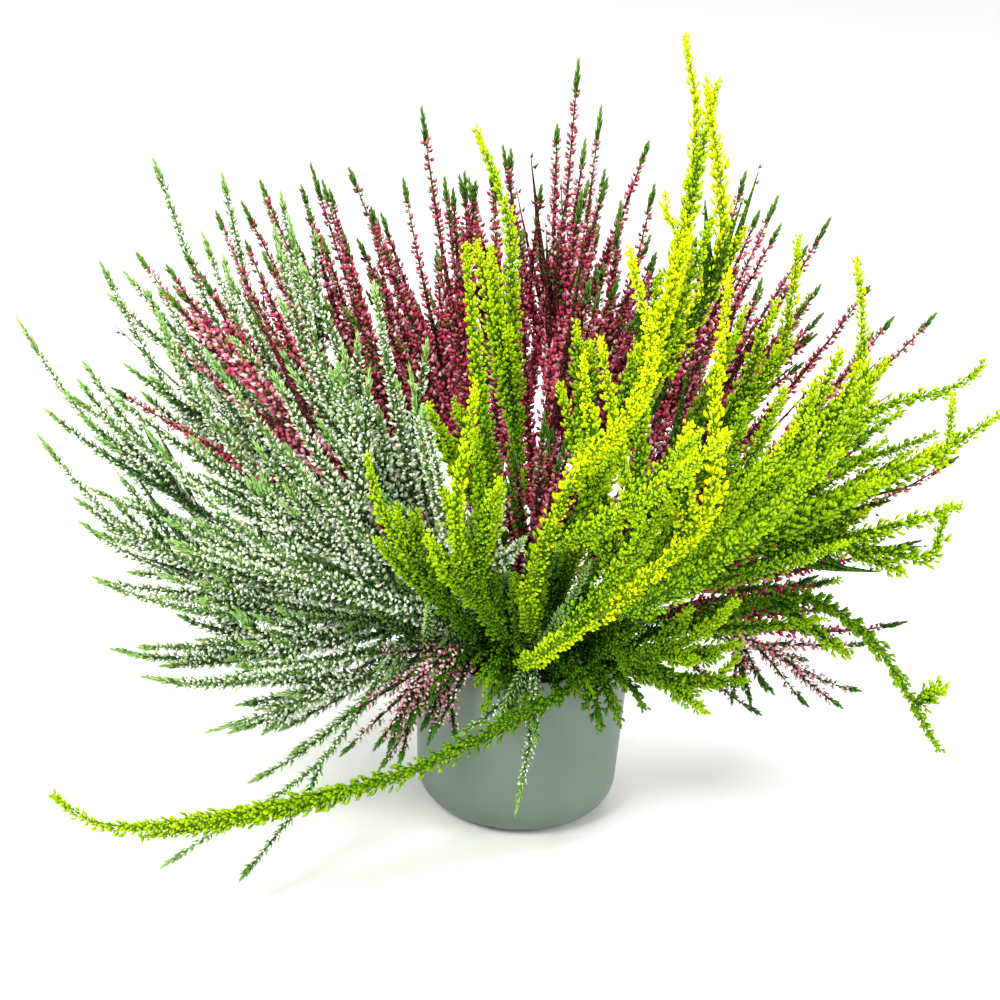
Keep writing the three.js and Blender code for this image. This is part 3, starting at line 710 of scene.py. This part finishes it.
def grow_piece(spray, heap, finishes):
    """A spray's piece from its heap of growth, on the frame, with its own map for the finishes."""
    starts = np.cumsum([0] + [len(part["corners"]) for part in heap[:-1]])
    corners = np.vstack([part["corners"] for part in heap]) * MM
    faces = np.vstack([part["faces"] + start for part, start in zip(heap, starts)])
    bands = np.concatenate([np.full(len(part["faces"]), part["finish"]) for part in heap])
    places = np.vstack([part["map"] for part in heap])[faces.ravel()]
    name = spray["name"] + "_growth"
    mesh = bpy.data.meshes.new(name)
    mesh.vertices.add(len(corners))
    mesh.vertices.foreach_set("co", corners.ravel().astype(np.float32))
    mesh.loops.add(faces.size)
    mesh.loops.foreach_set("vertex_index", faces.ravel().astype(np.int32))
    mesh.polygons.add(len(faces))
    mesh.polygons.foreach_set("loop_start", np.arange(0, faces.size, 3, dtype=np.int32))
    mesh.polygons.foreach_set("material_index", bands.astype(np.int32))
    mesh.update(calc_edges=True)
    mesh.uv_layers.new(name="OFBake").uv.foreach_set("vector", places.ravel().astype(np.float32))
    mesh.shade_smooth()
    place_piece(add_object(name, mesh, finishes), spray["name"])


BANDS = BARK, SHEATH, LEAF, BLOOM = 0, 1, 2, 3
BAND_EDGE = 0.08
SCALE_LEAF = 1.6
SKIN_GRAIN = 0.4
SKIN_GLOSS = 0.1
FLECK = 2.4


def rod(sides, lengths):
    """A rod of radius and length 1 that is cut into lengths, so that it can follow a stem."""
    shape = bmesh.new()
    bmesh.ops.create_cone(shape, cap_ends=True, segments=sides, radius1=1, radius2=1, depth=1,
                          matrix=Matrix.Translation((0, 0, 0.5)))
    for cut in range(1, lengths):
        bmesh.ops.bisect_plane(shape, geom=[*shape.verts, *shape.edges, *shape.faces],
                               plane_co=(0, 0, cut / lengths), plane_no=(0, 0, 1))
    return template(shape)


TWIG = rod(4, 8)
CORE = rod(5, 15)


def add_rod(heap, shape, stem, distances, radius, tint, finish):
    """A rod bent along a stem, with a distance and a radius for each of its corners."""
    x, y = shape["corners"].T[:2]
    places, ways, sides = frames_along(stem, distances)
    corners = places + (radius * x)[:, None] * sides + (radius * y)[:, None] * np.cross(ways, sides)
    add_growth(heap, shape, corners[None], tint, finish)


def add_bark(heap, stem, tip_radius, tint):
    """The woody main stem, up to where its leaves hide it; leaves hide a side shoot from its root on."""
    if stem["is_shoot"]:
        return
    z = TWIG["corners"][:, 2]
    end = stem["bare"] + 0.25 * (stem["length"] - stem["bare"])
    radius = STEM_FOOT_RADIUS + (tip_radius - STEM_FOOT_RADIUS) * z
    add_rod(heap, TWIG, stem, z * end, radius, tint, BARK)


def add_sheath(heap, stem, share, sunlit, chance, shape=CORE):
    """The close leaves next to the stem, as one uneven body that the outer ones stand out of: they are
    in shade inside the plant and in the sun further out."""
    start = 0 if stem["is_shoot"] else 0.8 * stem["bare"]
    z = shape["corners"][:, 2]
    distances = start + z * (stem["length"] - 3 - start)
    radius = share * np.maximum(cover_radius(stem, distances), 2) * (1 - 0.4 * z) * (1 - 0.6 * z ** 6)
    sun = sunlit * np.clip((distances - 50) / 120, 0, 1)
    add_rod(heap, shape, stem, distances, radius * chance.uniform(0.7, 1.2, len(z)), sun, SHEATH)


def growth_finish(name, band, tints, foot_shade, tip_shade, roughness, patch=0.12, fleck_size=FLECK):
    """A finish for stems, leaves or buds: the tint picks a shade, which changes from foot to tip."""
    material, tree, shader, at = new_finish(name)
    growth = add_node(tree, "ShaderNodeUVMap", {"uv_map": "OFBake"})
    place = add_node(tree, "ShaderNodeSeparateXYZ", inputs={0: growth.outputs["UV"]})
    along = add_node(tree, "ShaderNodeMapRange", inputs={
        "Value": place.outputs["Y"], "From Min": (band + BAND_EDGE) / len(BANDS),
        "From Max": (band + 1 - BAND_EDGE) / len(BANDS)})
    shade = add_node(tree, "ShaderNodeValToRGB", inputs={"Fac": place.outputs["X"]}, shades=tints)
    # The foot tint changes each part towards its foot: painted shade on the leaves, darker bark at the stem's
    # foot, and the buds' own greenish or brownish foot.
    fading = add_node(tree, "ShaderNodeValToRGB", inputs={"Fac": along.outputs["Result"]},
                      shades=[foot_shade, "FFFFFF", tip_shade])
    colour = add_node(tree, "ShaderNodeMix", {"data_type": "RGBA", "blend_type": "MULTIPLY"}, {
        0: 1.0, 6: shade.outputs["Color"], 7: fading.outputs["Color"]})
    fleck = add_node(tree, "ShaderNodeTexNoise", inputs={
        "Vector": at, "Scale": 1 / (fleck_size * MM), "Detail": 2})
    light = add_node(tree, "ShaderNodeMapRange", inputs={
        "Value": fleck.outputs["Fac"], "From Min": 0.3, "From Max": 0.7,
        "To Min": 1 - patch, "To Max": 1 + patch})
    varied = add_node(tree, "ShaderNodeHueSaturation", inputs={
        "Value": light.outputs["Result"], "Color": colour.outputs[2]})
    rough = add_node(tree, "ShaderNodeMapRange", inputs={
        "Value": fleck.outputs["Fac"], "To Min": roughness - 0.12, "To Max": roughness + 0.12})
    # The pores of the skin are finer than 0.05 mm; they are drawn coarser so that they show.
    grain = add_node(tree, "ShaderNodeTexNoise", inputs={
        "Vector": at, "Scale": 1 / (SKIN_GRAIN * MM), "Detail": 1})
    bump = add_node(tree, "ShaderNodeBump", inputs={
        "Strength": 0.3, "Distance": 0.2 * MM, "Height": grain.outputs["Fac"]})
    feed(shader, {"Base Color": varied.outputs["Color"], "Roughness": rough.outputs["Result"],
                  "Normal": bump.outputs["Normal"], "Specular IOR Level": SKIN_GLOSS})
    return material


def sheath_finish(name, shaded, sunlit):
    """Close-set leaves, drawn as cells: each has a light tip and painted shade in the gap round it, and the
    tint picks between shaded and sunlit shades, which are painted shade and painted light."""
    material, tree, shader, at = new_finish(name)
    growth = add_node(tree, "ShaderNodeUVMap", {"uv_map": "OFBake"})
    place = add_node(tree, "ShaderNodeSeparateXYZ", inputs={0: growth.outputs["UV"]})
    cells = add_node(tree, "ShaderNodeTexVoronoi", inputs={"Vector": at, "Scale": 1 / (SCALE_LEAF * MM)})
    near = add_node(tree, "ShaderNodeMapRange", inputs={
        "Value": cells.outputs["Distance"], "From Min": 0.7, "From Max": 0.1})
    dark = add_node(tree, "ShaderNodeValToRGB", inputs={"Fac": near.outputs["Result"]}, shades=shaded)
    bright = add_node(tree, "ShaderNodeValToRGB", inputs={"Fac": near.outputs["Result"]}, shades=sunlit)
    colour = add_node(tree, "ShaderNodeMix", {"data_type": "RGBA"}, {
        0: place.outputs["X"], 6: dark.outputs["Color"], 7: bright.outputs["Color"]})
    bump = add_node(tree, "ShaderNodeBump", inputs={
        "Strength": 1.0, "Distance": 0.8 * MM, "Height": near.outputs["Result"]})
    feed(shader, {"Base Color": colour.outputs[2], "Roughness": 0.6, "Normal": bump.outputs["Normal"],
                  "Specular IOR Level": SKIN_GLOSS})
    return material


FAN = np.array([1.0, 0.5, 1.0])
FINE_TRIES = 12
FINE_BARE = 0.06
FINE_FLARE = 1.2
FINE_LIFT = 0.12
FRONT_FOOT = -18
INNER_BARE = 0.02


def outside_pot(line, above, beside):
    """Whether each point of a line is well above the pot's rim or well outside it."""
    across = np.hypot(line[:, 0], line[:, 1])
    return (line[:, 2] > POT_HEIGHT + above) | (across > POT_TOP_RADIUS + beside)


def fine_shoots(spray, count, reach, climb, chance):
    """Finer shoots that leave the spray's stems at an acute angle and run on beside them: climb is the
    least share of the way to the tip that they go. They fan out less from front to back than across."""
    shoots = []
    for i in range(count):
        main = spray["stems"][i % len(spray["stems"])]
        foot_part = chance.uniform(0.1, 0.5) if main["is_shoot"] else chance.uniform(0.25, 0.62)
        tip_part = foot_part + (0.97 - foot_part) * chance.uniform(climb, 1)
        leave, end = foot_part * main["length"], tip_part * main["length"]
        for _ in range(FINE_TRIES):
            side = chance.normal(size=3) * FAN
            spread = reach * (end - leave) * chance.uniform(0.6, 1.3)
            line = line_beside(main, leave, end, side, spread, FINE_FLARE, FINE_LIFT, look=5)
            width = main["width"] * chance.uniform(0.75, 1)
            if outside_pot(line[4:], width, width).all() and (line[:, 2] > width + 2).all():
                shoots.append(new_stem(main["kind"], line, width, FINE_BARE))
                break
    return shoots


def inner_shoots(spray, count, chance):
    """Short leafy shoots from the foot of the main stem: they fill the middle and hang over the rim. At
    the front they either hang or stand steeply, and leave the way between free."""
    main = spray["stems"][0]
    shoots = []
    for _ in range(count * 20):
        if len(shoots) == count:
            break
        foot = point_along(main, STEM_BURIED + chance.uniform(8, 30))
        heading = math.atan2(foot[1], foot[0]) + chance.normal(0, 0.5)
        away = np.array([math.cos(heading), math.sin(heading), 0])
        if foot[1] < FRONT_FOOT:
            rise = chance.uniform(*((-0.6, 0) if chance.random() < 0.5 else (0.8, 1.3)))
            reach = chance.uniform(28, 50)
        else:
            rise = chance.uniform(-0.25, 1.2)
            reach = chance.uniform(45, 80)
        reach += 50 * max(rise, 0)
        tip = foot + (away * math.cos(rise) + UP * math.sin(rise)) * reach
        start = UP * (0.5 * reach + 12) + away * 0.3 * reach
        line = smooth_line([foot, tip], start, -0.4 if rise < 0.3 else 0.2)
        inside = np.hypot(line[:, 0], line[:, 1]) < POT_TOP_RADIUS - 8
        if (inside | outside_pot(line, 3, 4)).all():
            shoots.append(new_stem(main["kind"], line, main["width"] * 0.8, INNER_BARE))
    return shoots


# Heather bark, grown in thin grey-brown flakes: matt, darker at the foot of the stem. The yellow-leaved
# plant's young bark is smoother and tan.
bark_finish = growth_finish("flaky_heather_bark", BARK, ["4A3624", "7A5C3E", "A07E54"],
                            "B0A090", "E8E0C0", 0.8)
lime_bark_finish = growth_finish("young_heather_bark", BARK, ["7A5A28", "B08A3C", "D8B44A"],
                                 "B0A090", "FFFFD0", 0.7)

sprays = grow_plants()


# --- Flowering heathers -----------------------------------------------------------------------------
# Closed egg-shaped flower buds stand out all round each stem between small green leaves, and the
# last part of each stem carries leaves alone. The white, crimson and pink plants differ in colour.

BUD = template(turned([(0, 0), (0.3, 0.5), (0, 1)], 3))


def add_leaf(shape, length, radius, height, turn, lean):
    """A three-sided leaf whose root is at a height on the Z axis, leaning out from it."""
    placed = (Matrix.Translation((0, 0, height)) @ Matrix.Rotation(turn, 4, "Z")
              @ Matrix.Rotation(lean, 4, "Y") @ Matrix.Translation((0, 0, length / 2)))
    bmesh.ops.create_cone(shape, cap_ends=True, segments=3, radius1=radius, radius2=0, depth=length,
                          matrix=placed)


leaflet_shape = bmesh.new()
add_leaf(leaflet_shape, 1, 0.28, 0, 0, 0)
LEAFLET = template(leaflet_shape)

spear_shape = bmesh.new()
for whorl in range(5):
    for leaf in range(3):
        add_leaf(spear_shape, 0.36, 0.075 - 0.006 * whorl, 0.15 * whorl, (leaf + whorl / 2) * 2 * math.pi / 3,
                 0.42 - 0.06 * whorl)
add_leaf(spear_shape, 0.34, 0.05, 0.68, 0, 0)
SPEAR = template(spear_shape)

# Lengths are in mm. pitch: between whorls of buds, bud and leaf: the length of one, plump: a bud's width
# to its length, splay: how far it leans out, green and tip: length and tint of the leafy end, leafy: how
# many times as long that end is on a main stem, sparse: the share of buds missing beside it, leaves: in
# each whorl, core: the sheath's share of the cover, fine, reach and climb: the number, spread and least
# rise of the finer shoots, fuller: more or fewer of them on single sprays, inner: short shoots at the
# foot, bark: its tint, seed: of the chances.
HABITS = {
    "white": {
        "pitch": 2.6, "bud": 4.7, "plump": 0.95, "splay": 0.9, "green": 11, "leafy": 1.7, "sparse": 0.3,
        "leaf": 3.7, "leaves": 2, "tip": 0.7, "core": 0.44, "fine": 8, "reach": 0.34, "climb": 0.45,
        "inner": 4, "bark": 0.6, "seed": 100, "fuller": {2: 1, 5: 2, 6: 2, 9: 2, 15: -5}},
    "crimson": {
        "pitch": 2.3, "bud": 5.4, "plump": 1.05, "splay": 0.85, "green": 11, "leafy": 1.3, "sparse": 0.55,
        "leaf": 3.2, "leaves": 1, "tip": 0.5, "core": 0.5, "fine": 8, "reach": 0.24, "climb": 0.62,
        "inner": 2, "bark": 0.4, "seed": 5756, "fuller": {
            1: -4, 2: -3, 3: 3, 4: 6, 5: 6, 6: 4, 7: 4, 8: 3, 9: 8, 10: 4, 14: -4, 15: -4, 16: 6, 17: 2}},
    "pink": {
        "pitch": 2.6, "bud": 4.2, "plump": 1.0, "splay": 0.95, "green": 8, "leafy": 1, "sparse": 0.3,
        "leaf": 3.2, "leaves": 1, "tip": 0.5, "core": 0.4, "fine": 9, "reach": 0.42, "climb": 0.45,
        "inner": 3, "bark": 0.4, "seed": 100, "fuller": {2: 6}},
}
BUDS_ROUND = 4
END_LEAVES = 12
GOLDEN_TURN = 2.4
INNER_TWIGS = 7
TWIG_LEAVES = 10
# Crimson sprays whose tip is lower than the first of these levels are painted darker, as painted shade low
# in the plant, those whose tip is in front of FULL_FRONT have more inner shoots, and those in front of
# BARE_FRONT or lower than BARE_LEVEL have no inner twigs.
LOW_SHADE_LEVEL = 200
FULL_FRONT = -80
BARE_FRONT = -65
BARE_LEVEL = 140


def add_leaves(heap, stem, distances, lean, length, stand, tints, chance, girth=1.0):
    """Small leaves at distances along a stem, in a spiral round it, leaning ahead by an angle from it."""
    count = len(distances)
    angle = lean * chance.uniform(0.8, 1.2, count)
    places, outs, leaf_ways, leaf_outs = leaning_out(stem, distances, np.arange(count) * GOLDEN_TURN, angle)
    sizes = length * chance.uniform(0.8, 1.2, count)
    roots = places + outs * np.reshape(stand, (-1, 1))
    set_out(heap, LEAFLET, roots, leaf_ways, leaf_outs, sizes, sizes * girth, tints, LEAF)


def add_inner_twigs(heap, spray, reach, chance):
    """Thin twigs in the shade between the upper shoots, with close leaves and a few that stand out."""
    tip = spray["spec"]["tip"]
    if tip[1] < BARE_FRONT or tip[2] < BARE_LEVEL:
        return
    for shoot in fine_shoots(spray, INNER_TWIGS, reach, 0.35, chance):
        twig = {**shoot, "length": 0.75 * shoot["length"]}
        add_sheath(heap, twig, 0.5, 0.8, chance, TWIG)
        at = chance.uniform(0.2, 1, TWIG_LEAVES) * twig["length"]
        # Their leaves get a darker tint than the sprays' own, as painted shade.
        add_leaves(heap, twig, at, 0.7, 3.6, 1.2, np.full(TWIG_LEAVES, 0.3), chance)


def flower_stem(heap, stem, habit, low_shade, chance, flowering=True):
    """One stem: bark, leaves all along, buds on the middle where it flowers, and a leafy tip."""
    length, bare = stem["length"], stem["bare"]
    # Each stem's tone differs at random; low crimson sprays are painted darker, as painted shade.
    tone = chance.normal(0, 0.08) - low_shade
    add_bark(heap, stem, 0.4, habit["bark"] + tone)
    add_sheath(heap, stem, habit["core"], 1.0, chance)
    green = habit["green"] * chance.uniform(0.6, 1.3) * (1 if stem["is_shoot"] else habit["leafy"])
    green = min(green, 0.5 * (length - bare))
    leafy_from = length - green

    distances, turns = whorls_along(bare * 0.9, leafy_from, habit["pitch"], BUDS_ROUND, 0.7, 0.25, chance)
    part = np.clip((distances - bare) / max(leafy_from - bare, 1), 0, 1)
    kept = chance.random(len(distances)) > habit["sparse"] * part ** 1.8 + 0.05
    distances, turns, part = distances[kept], turns[kept], part[kept]
    count = len(distances)
    angle = habit["splay"] * chance.uniform(0.65, 1.25, count)
    places, outs, bud_ways, bud_outs = leaning_out(stem, distances, turns, angle)
    slim = 0.7 if stem["width"] < 0.7 * COVERS[stem["kind"]]["width"] else 1
    sizes = habit["bud"] * chance.uniform(0.75, 1.15, count) * (1 - 0.4 * part) * slim
    stand = np.clip(1.2 * cover_radius(stem, distances) - sizes * np.sin(angle), 0.8, 3)
    roots = places + outs * (stand * chance.uniform(0.3, 1.15, count))[:, None]
    # The first buds, deep inside the plant, are painted darker as painted shade.
    tints = np.clip(0.5 + tone + chance.normal(0, 0.26, count) - 0.15 * (part < 0.1), 0, 1)
    if flowering:
        set_out(heap, BUD, roots, bud_ways, bud_outs, sizes, sizes * habit["plump"], tints, BLOOM)

    leaf_at = np.arange(bare * 0.7, leafy_from, habit["pitch"] * (1.0 if flowering else 0.5))
    leaf_at = np.repeat(leaf_at, habit["leaves"]) + chance.uniform(-0.6, 0.6, len(leaf_at) * habit["leaves"])
    leaf_part = np.clip((leaf_at - bare) / (length - bare), -1, 1)
    # Leaves are painted darker deeper inside the plant and lighter further out: painted shade and light.
    leaf_tint = 0.5 + tone + 0.3 * leaf_part + chance.normal(0, 0.15, len(leaf_at))
    stand = np.where(leaf_at > bare, 0.35 * cover_radius(stem, leaf_at), 0.4)
    add_leaves(heap, stem, leaf_at, 0.8, habit["leaf"], stand, leaf_tint, chance)

    end_at = chance.uniform(leafy_from - 4, length - 0.4 * green, END_LEAVES)
    end_tint = habit["tip"] + tone + chance.normal(0, 0.1, END_LEAVES)
    add_leaves(heap, stem, end_at, 0.45, habit["leaf"], 0.5, end_tint, chance, 1.1)
    set_out(heap, SPEAR, *frames_along(stem, [leafy_from]), green + 2, min(green, 10) + 5,
            habit["tip"] + tone, LEAF)


# Shades from dark to light, of the sheath in shade and in the sun, of the leaves and of the buds, with
# the tints of a bud's foot and tip.
SHADES = {
    "white": {
        "shaded": ["20321A", "20321A", "548040", "A4C484"], "leaf": ["2C541C", "5C9440", "90BC64", "BCDC90"],
        "sunlit": ["4C7034", "4C7034", "9CC078", "DCF0BC"], "bud": ["CCE0A8", "ECF4DC", "FCFEF4", "FFFFFF"],
        "foot": "D0E4B0", "tip": "FFFFFF", "roughness": 0.5},
    "crimson": {
        "shaded": ["30120E", "30120E", "782E38", "AC6058"], "leaf": ["1C380C", "40681C", "608C2C", "98B44C"],
        "sunlit": ["44201C", "44201C", "9C4450", "C08468"],
        "bud": ["8C2240", "BC385A", "D45A7A", "E49AAC", "FFE2E6"],
        "foot": "BCA4A0", "tip": "FFF8F8", "roughness": 0.6},
    "pink": {
        "shaded": ["101808", "101808", "38501C", "7C9448"], "leaf": ["14300C", "2C5C18", "4C8428", "88B448"],
        "sunlit": ["18240C", "18240C", "48642A", "8CA858"], "bud": ["9C5064", "CC8090", "ECC0C6", "FFF2EE"],
        "foot": "A08878", "tip": "FFFFFF", "roughness": 0.5},
}

# Heather leaves are waxy scales with a subdued sheen, painted darker towards their foot as painted shade
# where they overlap, so paler at their tips. The closed buds have thin, papery, dry petals: quite matt, with
# a greenish or brownish foot.
plant_finishes = {}
for kind, shades in SHADES.items():
    plant_finishes[kind] = [
        bark_finish,
        sheath_finish(kind + "_heather_scale_leaves", shades["shaded"], shades["sunlit"]),
        growth_finish(f"waxy_{kind}_heather_leaf", LEAF, shades["leaf"], "A0A0A0", "FFFFE8", 0.5),
        growth_finish(f"papery_{kind}_bud", BLOOM, shades["bud"], shades["foot"], shades["tip"],
                      shades["roughness"])]

for order, spray in enumerate(s for s in sprays if s["kind"] in HABITS):
    habit = HABITS[spray["kind"]]
    tip = spray["spec"]["tip"]
    chance = np.random.default_rng(habit["seed"] + order)
    count = 1 if "slim" in spray["spec"] else habit["fine"] + habit["fuller"].get(spray["number"], 0)
    # Crimson sprays low in the plant are painted darker, as painted shade.
    low_shade = 0.3 if spray["kind"] == "crimson" and tip[2] < LOW_SHADE_LEVEL else 0
    heap = []
    for stem in spray["stems"] + fine_shoots(spray, count, habit["reach"], habit["climb"], chance):
        flower_stem(heap, stem, habit, low_shade, chance)
    for shoot in inner_shoots(spray, habit["inner"] + (1 if tip[1] < FULL_FRONT else -1), chance):
        flower_stem(heap, shoot, habit, low_shade, chance, flowering=False)
    add_inner_twigs(heap, spray, 1.3 * habit["reach"], chance)
    grow_piece(spray, heap, plant_finishes[spray["kind"]])


# --- Yellow-leaved heather --------------------------------------------------------------------------
# Foliage alone, grown for its colour: short branchlets closely set with scale leaves stand all round
# each stem. They are bright yellow where they get the sun, at the tips, and green further in.

SIDE_KNOBS = 4
KNOB_LEAN = math.radians(36)


def knob(height, turn, lean, length, radius):
    """The blunt end of a twig: a tuft of scale leaves, as corners placed on the Z axis."""
    shape = turned([(0, 0), (radius, 0.7 * length), (0, length)], 3)
    turned_out = Matrix.Rotation(turn, 4, "Z") @ Matrix.Rotation(lean, 4, "Y")
    bmesh.ops.transform(shape, matrix=Matrix.Translation((0, 0, height)) @ turned_out, verts=shape.verts)
    tuft = template(shape)
    tuft["along"] = np.clip(np.hypot(tuft["corners"][:, 0], tuft["corners"][:, 1]) / (0.9 * length), 0, 1)
    return tuft


tufts = [knob(0.04 + 0.15 * i, i * math.pi / 2 * 1.1, KNOB_LEAN, 0.44, 0.115) for i in range(SIDE_KNOBS)]
last_tuft = knob(0.52, 0, 0, 0.5, 0.13)
last_tuft["along"] = np.clip((last_tuft["corners"][:, 2] - 0.5) / 0.5, 0, 1)
tufts.append(last_tuft)
BRANCHLET = {part: np.concatenate([tuft[part] for tuft in tufts]) for part in ("corners", "along", "around")}
BRANCHLET["faces"] = np.vstack([tuft["faces"] + i * len(last_tuft["corners"])
                                for i, tuft in enumerate(tufts)])

LIME_PITCH = 2.7
LIME_ROUND = 2
LIME_SEED = 3706
LIME_FRONT = -100
LIME_HIGH = 330
LIME_LEFT = 60
LIME_SHADE = 0.1
# The number and spread of the finer shoots, and how far the longest stems stand out in the sun, where
# single sprays differ from the others.
LIME_FINE = {1: (3, 0.08), 4: (6, 0.09), 9: (4, 0.12), 15: (4, 0.2), 16: (2, 0.07)}
LIME_SUN = {1: 0.5, 4: 0.1, 6: 0.2, 7: 0.42, 8: 0.32, 9: 0.4, 10: 0.05, 11: 0.15}


def leafy_stem(heap, stem, sunlit, pitch, chance):
    """One leafy stem: bark, branchlets that shorten towards the tip, and a bright close-set end."""
    length, bare = stem["length"], stem["bare"]
    tone = chance.normal(0, 0.06)
    add_bark(heap, stem, 0.6, 0.5 + tone)
    add_sheath(heap, stem, 0.4, sunlit + 0.4, chance)
    distances, turns = whorls_along(bare * 0.7, length - 1.5, pitch, LIME_ROUND, 0.6, 0.3, chance)
    count = len(distances)
    part = np.clip((distances - bare) / (length - bare), 0, 1)
    radius = np.maximum(cover_radius(stem, distances), 2.0)
    angle = (0.7 - 0.3 * part) * chance.uniform(0.7, 1.3, count)
    places, _, twig_ways, twig_outs = leaning_out(stem, distances, turns, angle)
    reach = np.clip(radius / np.sin(np.clip(angle, 0.4, 1.2)) * chance.uniform(0.7, 1.15, count), 3.0, 13.0)
    girth = np.clip(3.5 + 0.45 * reach, 4.0, 9.0) * chance.uniform(0.85, 1.15, count)
    # The tints are painted light and shade: lighter further from the crown, towards the front and higher up,
    # and darker inside the plant; they also lighten towards the stem's tip.
    sun = np.clip((np.linalg.norm(places - CROWN, axis=1) - 60) / 150, 0, 1)
    front = np.clip(-places[:, 1] / 140, 0, 1)
    lit_from_above = np.clip((places[:, 2] - 220) / 100, 0, 1)
    tints = sunlit + tone + 0.28 * sun + 0.12 * front + 0.1 * lit_from_above + 0.15 * part
    tints += chance.normal(0, 0.06, count)
    set_out(heap, BRANCHLET, places, twig_ways, twig_outs, reach, girth, tints, LEAF)
    set_out(heap, SPEAR, *frames_along(stem, [length - 12]), 13, 14, tints[-1] + 0.12, LEAF)


# The yellow plant's scale leaves hold little leaf green: they look soft and bright, nearly lemon yellow
# in full sun and green in shade, with hardly any sheen.
lime_finishes = [
    lime_bark_finish,
    sheath_finish("lime_heather_scale_leaves", ["183808", "183808", "487C10", "80AC10"],
                  ["5C8808", "5C8808", "A4C808", "DCEC08"]),
    # The green foot tint below darkens each tuft towards its branchlet: partly the tufts' own greener inner
    # leaves, partly painted shade between the tufts.
    growth_finish("soft_lime_heather_leaf", LEAF, ["1C4008", "487C08", "88B408", "BCDC08", "F0FA00"],
                  "90B45C", "FFFFE8", 0.6, 0.15, 1.25)]

for order, spray in enumerate(s for s in sprays if s["kind"] == "lime"):
    chance = np.random.default_rng(LIME_SEED + order)
    tip = spray["spec"]["tip"]
    usual = (2, 0.16) if tip[2] > LIME_HIGH or tip[0] < LIME_LEFT else (5, 0.26)
    count, spread = LIME_FINE.get(spray["number"], usual)
    sunlit = 0.22 if tip[1] > LIME_FRONT else 0.14
    longest = 1 + len(spray["spec"].get("forks", []))
    heap = []
    for i, stem in enumerate(spray["stems"] + fine_shoots(spray, count, spread, 0.45, chance)):
        sun = LIME_SUN.get(spray["number"], 0) if i < longest else 0
        leafy_stem(heap, stem, sunlit + sun, LIME_PITCH, chance)
    for shoot in inner_shoots(spray, 6 if tip[1] < LIME_FRONT else 1, chance):
        leafy_stem(heap, shoot, LIME_SHADE, 1.6 * LIME_PITCH, chance)
    add_inner_twigs(heap, spray, 0.3, chance)
    grow_piece(spray, heap, lime_finishes)


# --- Floor, light and camera ------------------------------------------------------------------------
# A plain pale studio floor under soft light from above and from the front left.

FLOOR_SIZE = 12000
FLOOR_SHADE = "F4F4F2"
FLOOR_PALE = "F8F8F7"
FLOOR_CLOUD = 500

floor_shape = bmesh.new()
bmesh.ops.create_grid(floor_shape, x_segments=1, y_segments=1, size=FLOOR_SIZE * MM)
# Matt white paint, rolled on: no highlights, and the faintest clouds about half a metre wide.
floor_material, floor_tree, floor_shader, floor_at = new_finish("rolled_matt_paint")
floor_cloud = add_node(floor_tree, "ShaderNodeTexNoise", inputs={
    "Vector": floor_at, "Scale": 1 / (FLOOR_CLOUD * MM)})
floor_colour = add_node(floor_tree, "ShaderNodeMix", {"data_type": "RGBA"}, {
    0: floor_cloud.outputs["Fac"], 6: linear(FLOOR_SHADE), 7: linear(FLOOR_PALE)})
feed(floor_shader, {"Base Color": floor_colour.outputs[2], "Roughness": 0.9})
floor = new_piece("studio_floor", floor_shape, floor_material)

world = bpy.data.worlds.new("studio")
world.use_nodes = True
sky = world.node_tree.nodes["Background"].inputs
sky["Color"].default_value = linear("FCFDFF")
sky["Strength"].default_value = 1.0
bpy.context.scene.world = world

# Lamps and camera are placed in metres.
AIM = (0, 0, 0.2)


def add_softbox(name, place, size, power, shade):
    """A round soft lamp, aimed at the plant."""
    lamp = bpy.data.lights.new(name, "AREA")
    lamp.shape = "DISK"
    lamp.size = size
    lamp.energy = power
    lamp.color = linear(shade)[:3]
    holder = bpy.data.objects.new(name, lamp)
    holder.location = place
    holder.rotation_euler = (Vector(AIM) - Vector(place)).to_track_quat("-Z", "Y").to_euler()
    bpy.context.scene.collection.objects.link(holder)


add_softbox("key_light", (-1.1, -1.6, 1.9), 0.9, 60, "FFFDF8")
add_softbox("top_light", (0.3, 0.4, 2.2), 1.2, 30, "FFFFFF")
add_softbox("side_light", (1.9, -0.7, 1.0), 0.9, 14, "FFFFFF")

VIEW_POINT = Vector((-0.017, 0, 0.178))
VIEW_DISTANCE = 1.15
VIEW_DOWN = math.radians(20)
VIEW_ROLL = math.radians(3)
VIEW_LENS = 76.46
camera = bpy.data.cameras.new("camera")
camera.lens = VIEW_LENS
camera.sensor_width = 36
camera_holder = bpy.data.objects.new("camera", camera)
back = Vector((0, -math.cos(VIEW_DOWN), math.sin(VIEW_DOWN)))
looking = (-back).to_track_quat("-Z", "Y").to_matrix().to_4x4()
camera_holder.matrix_world = (Matrix.Translation(VIEW_POINT + VIEW_DISTANCE * back) @ looking
                              @ Matrix.Rotation(VIEW_ROLL, 4, "Z"))
bpy.context.scene.collection.objects.link(camera_holder)
bpy.context.scene.camera = camera_holder
bpy.context.scene.view_settings.view_transform = "Standard"
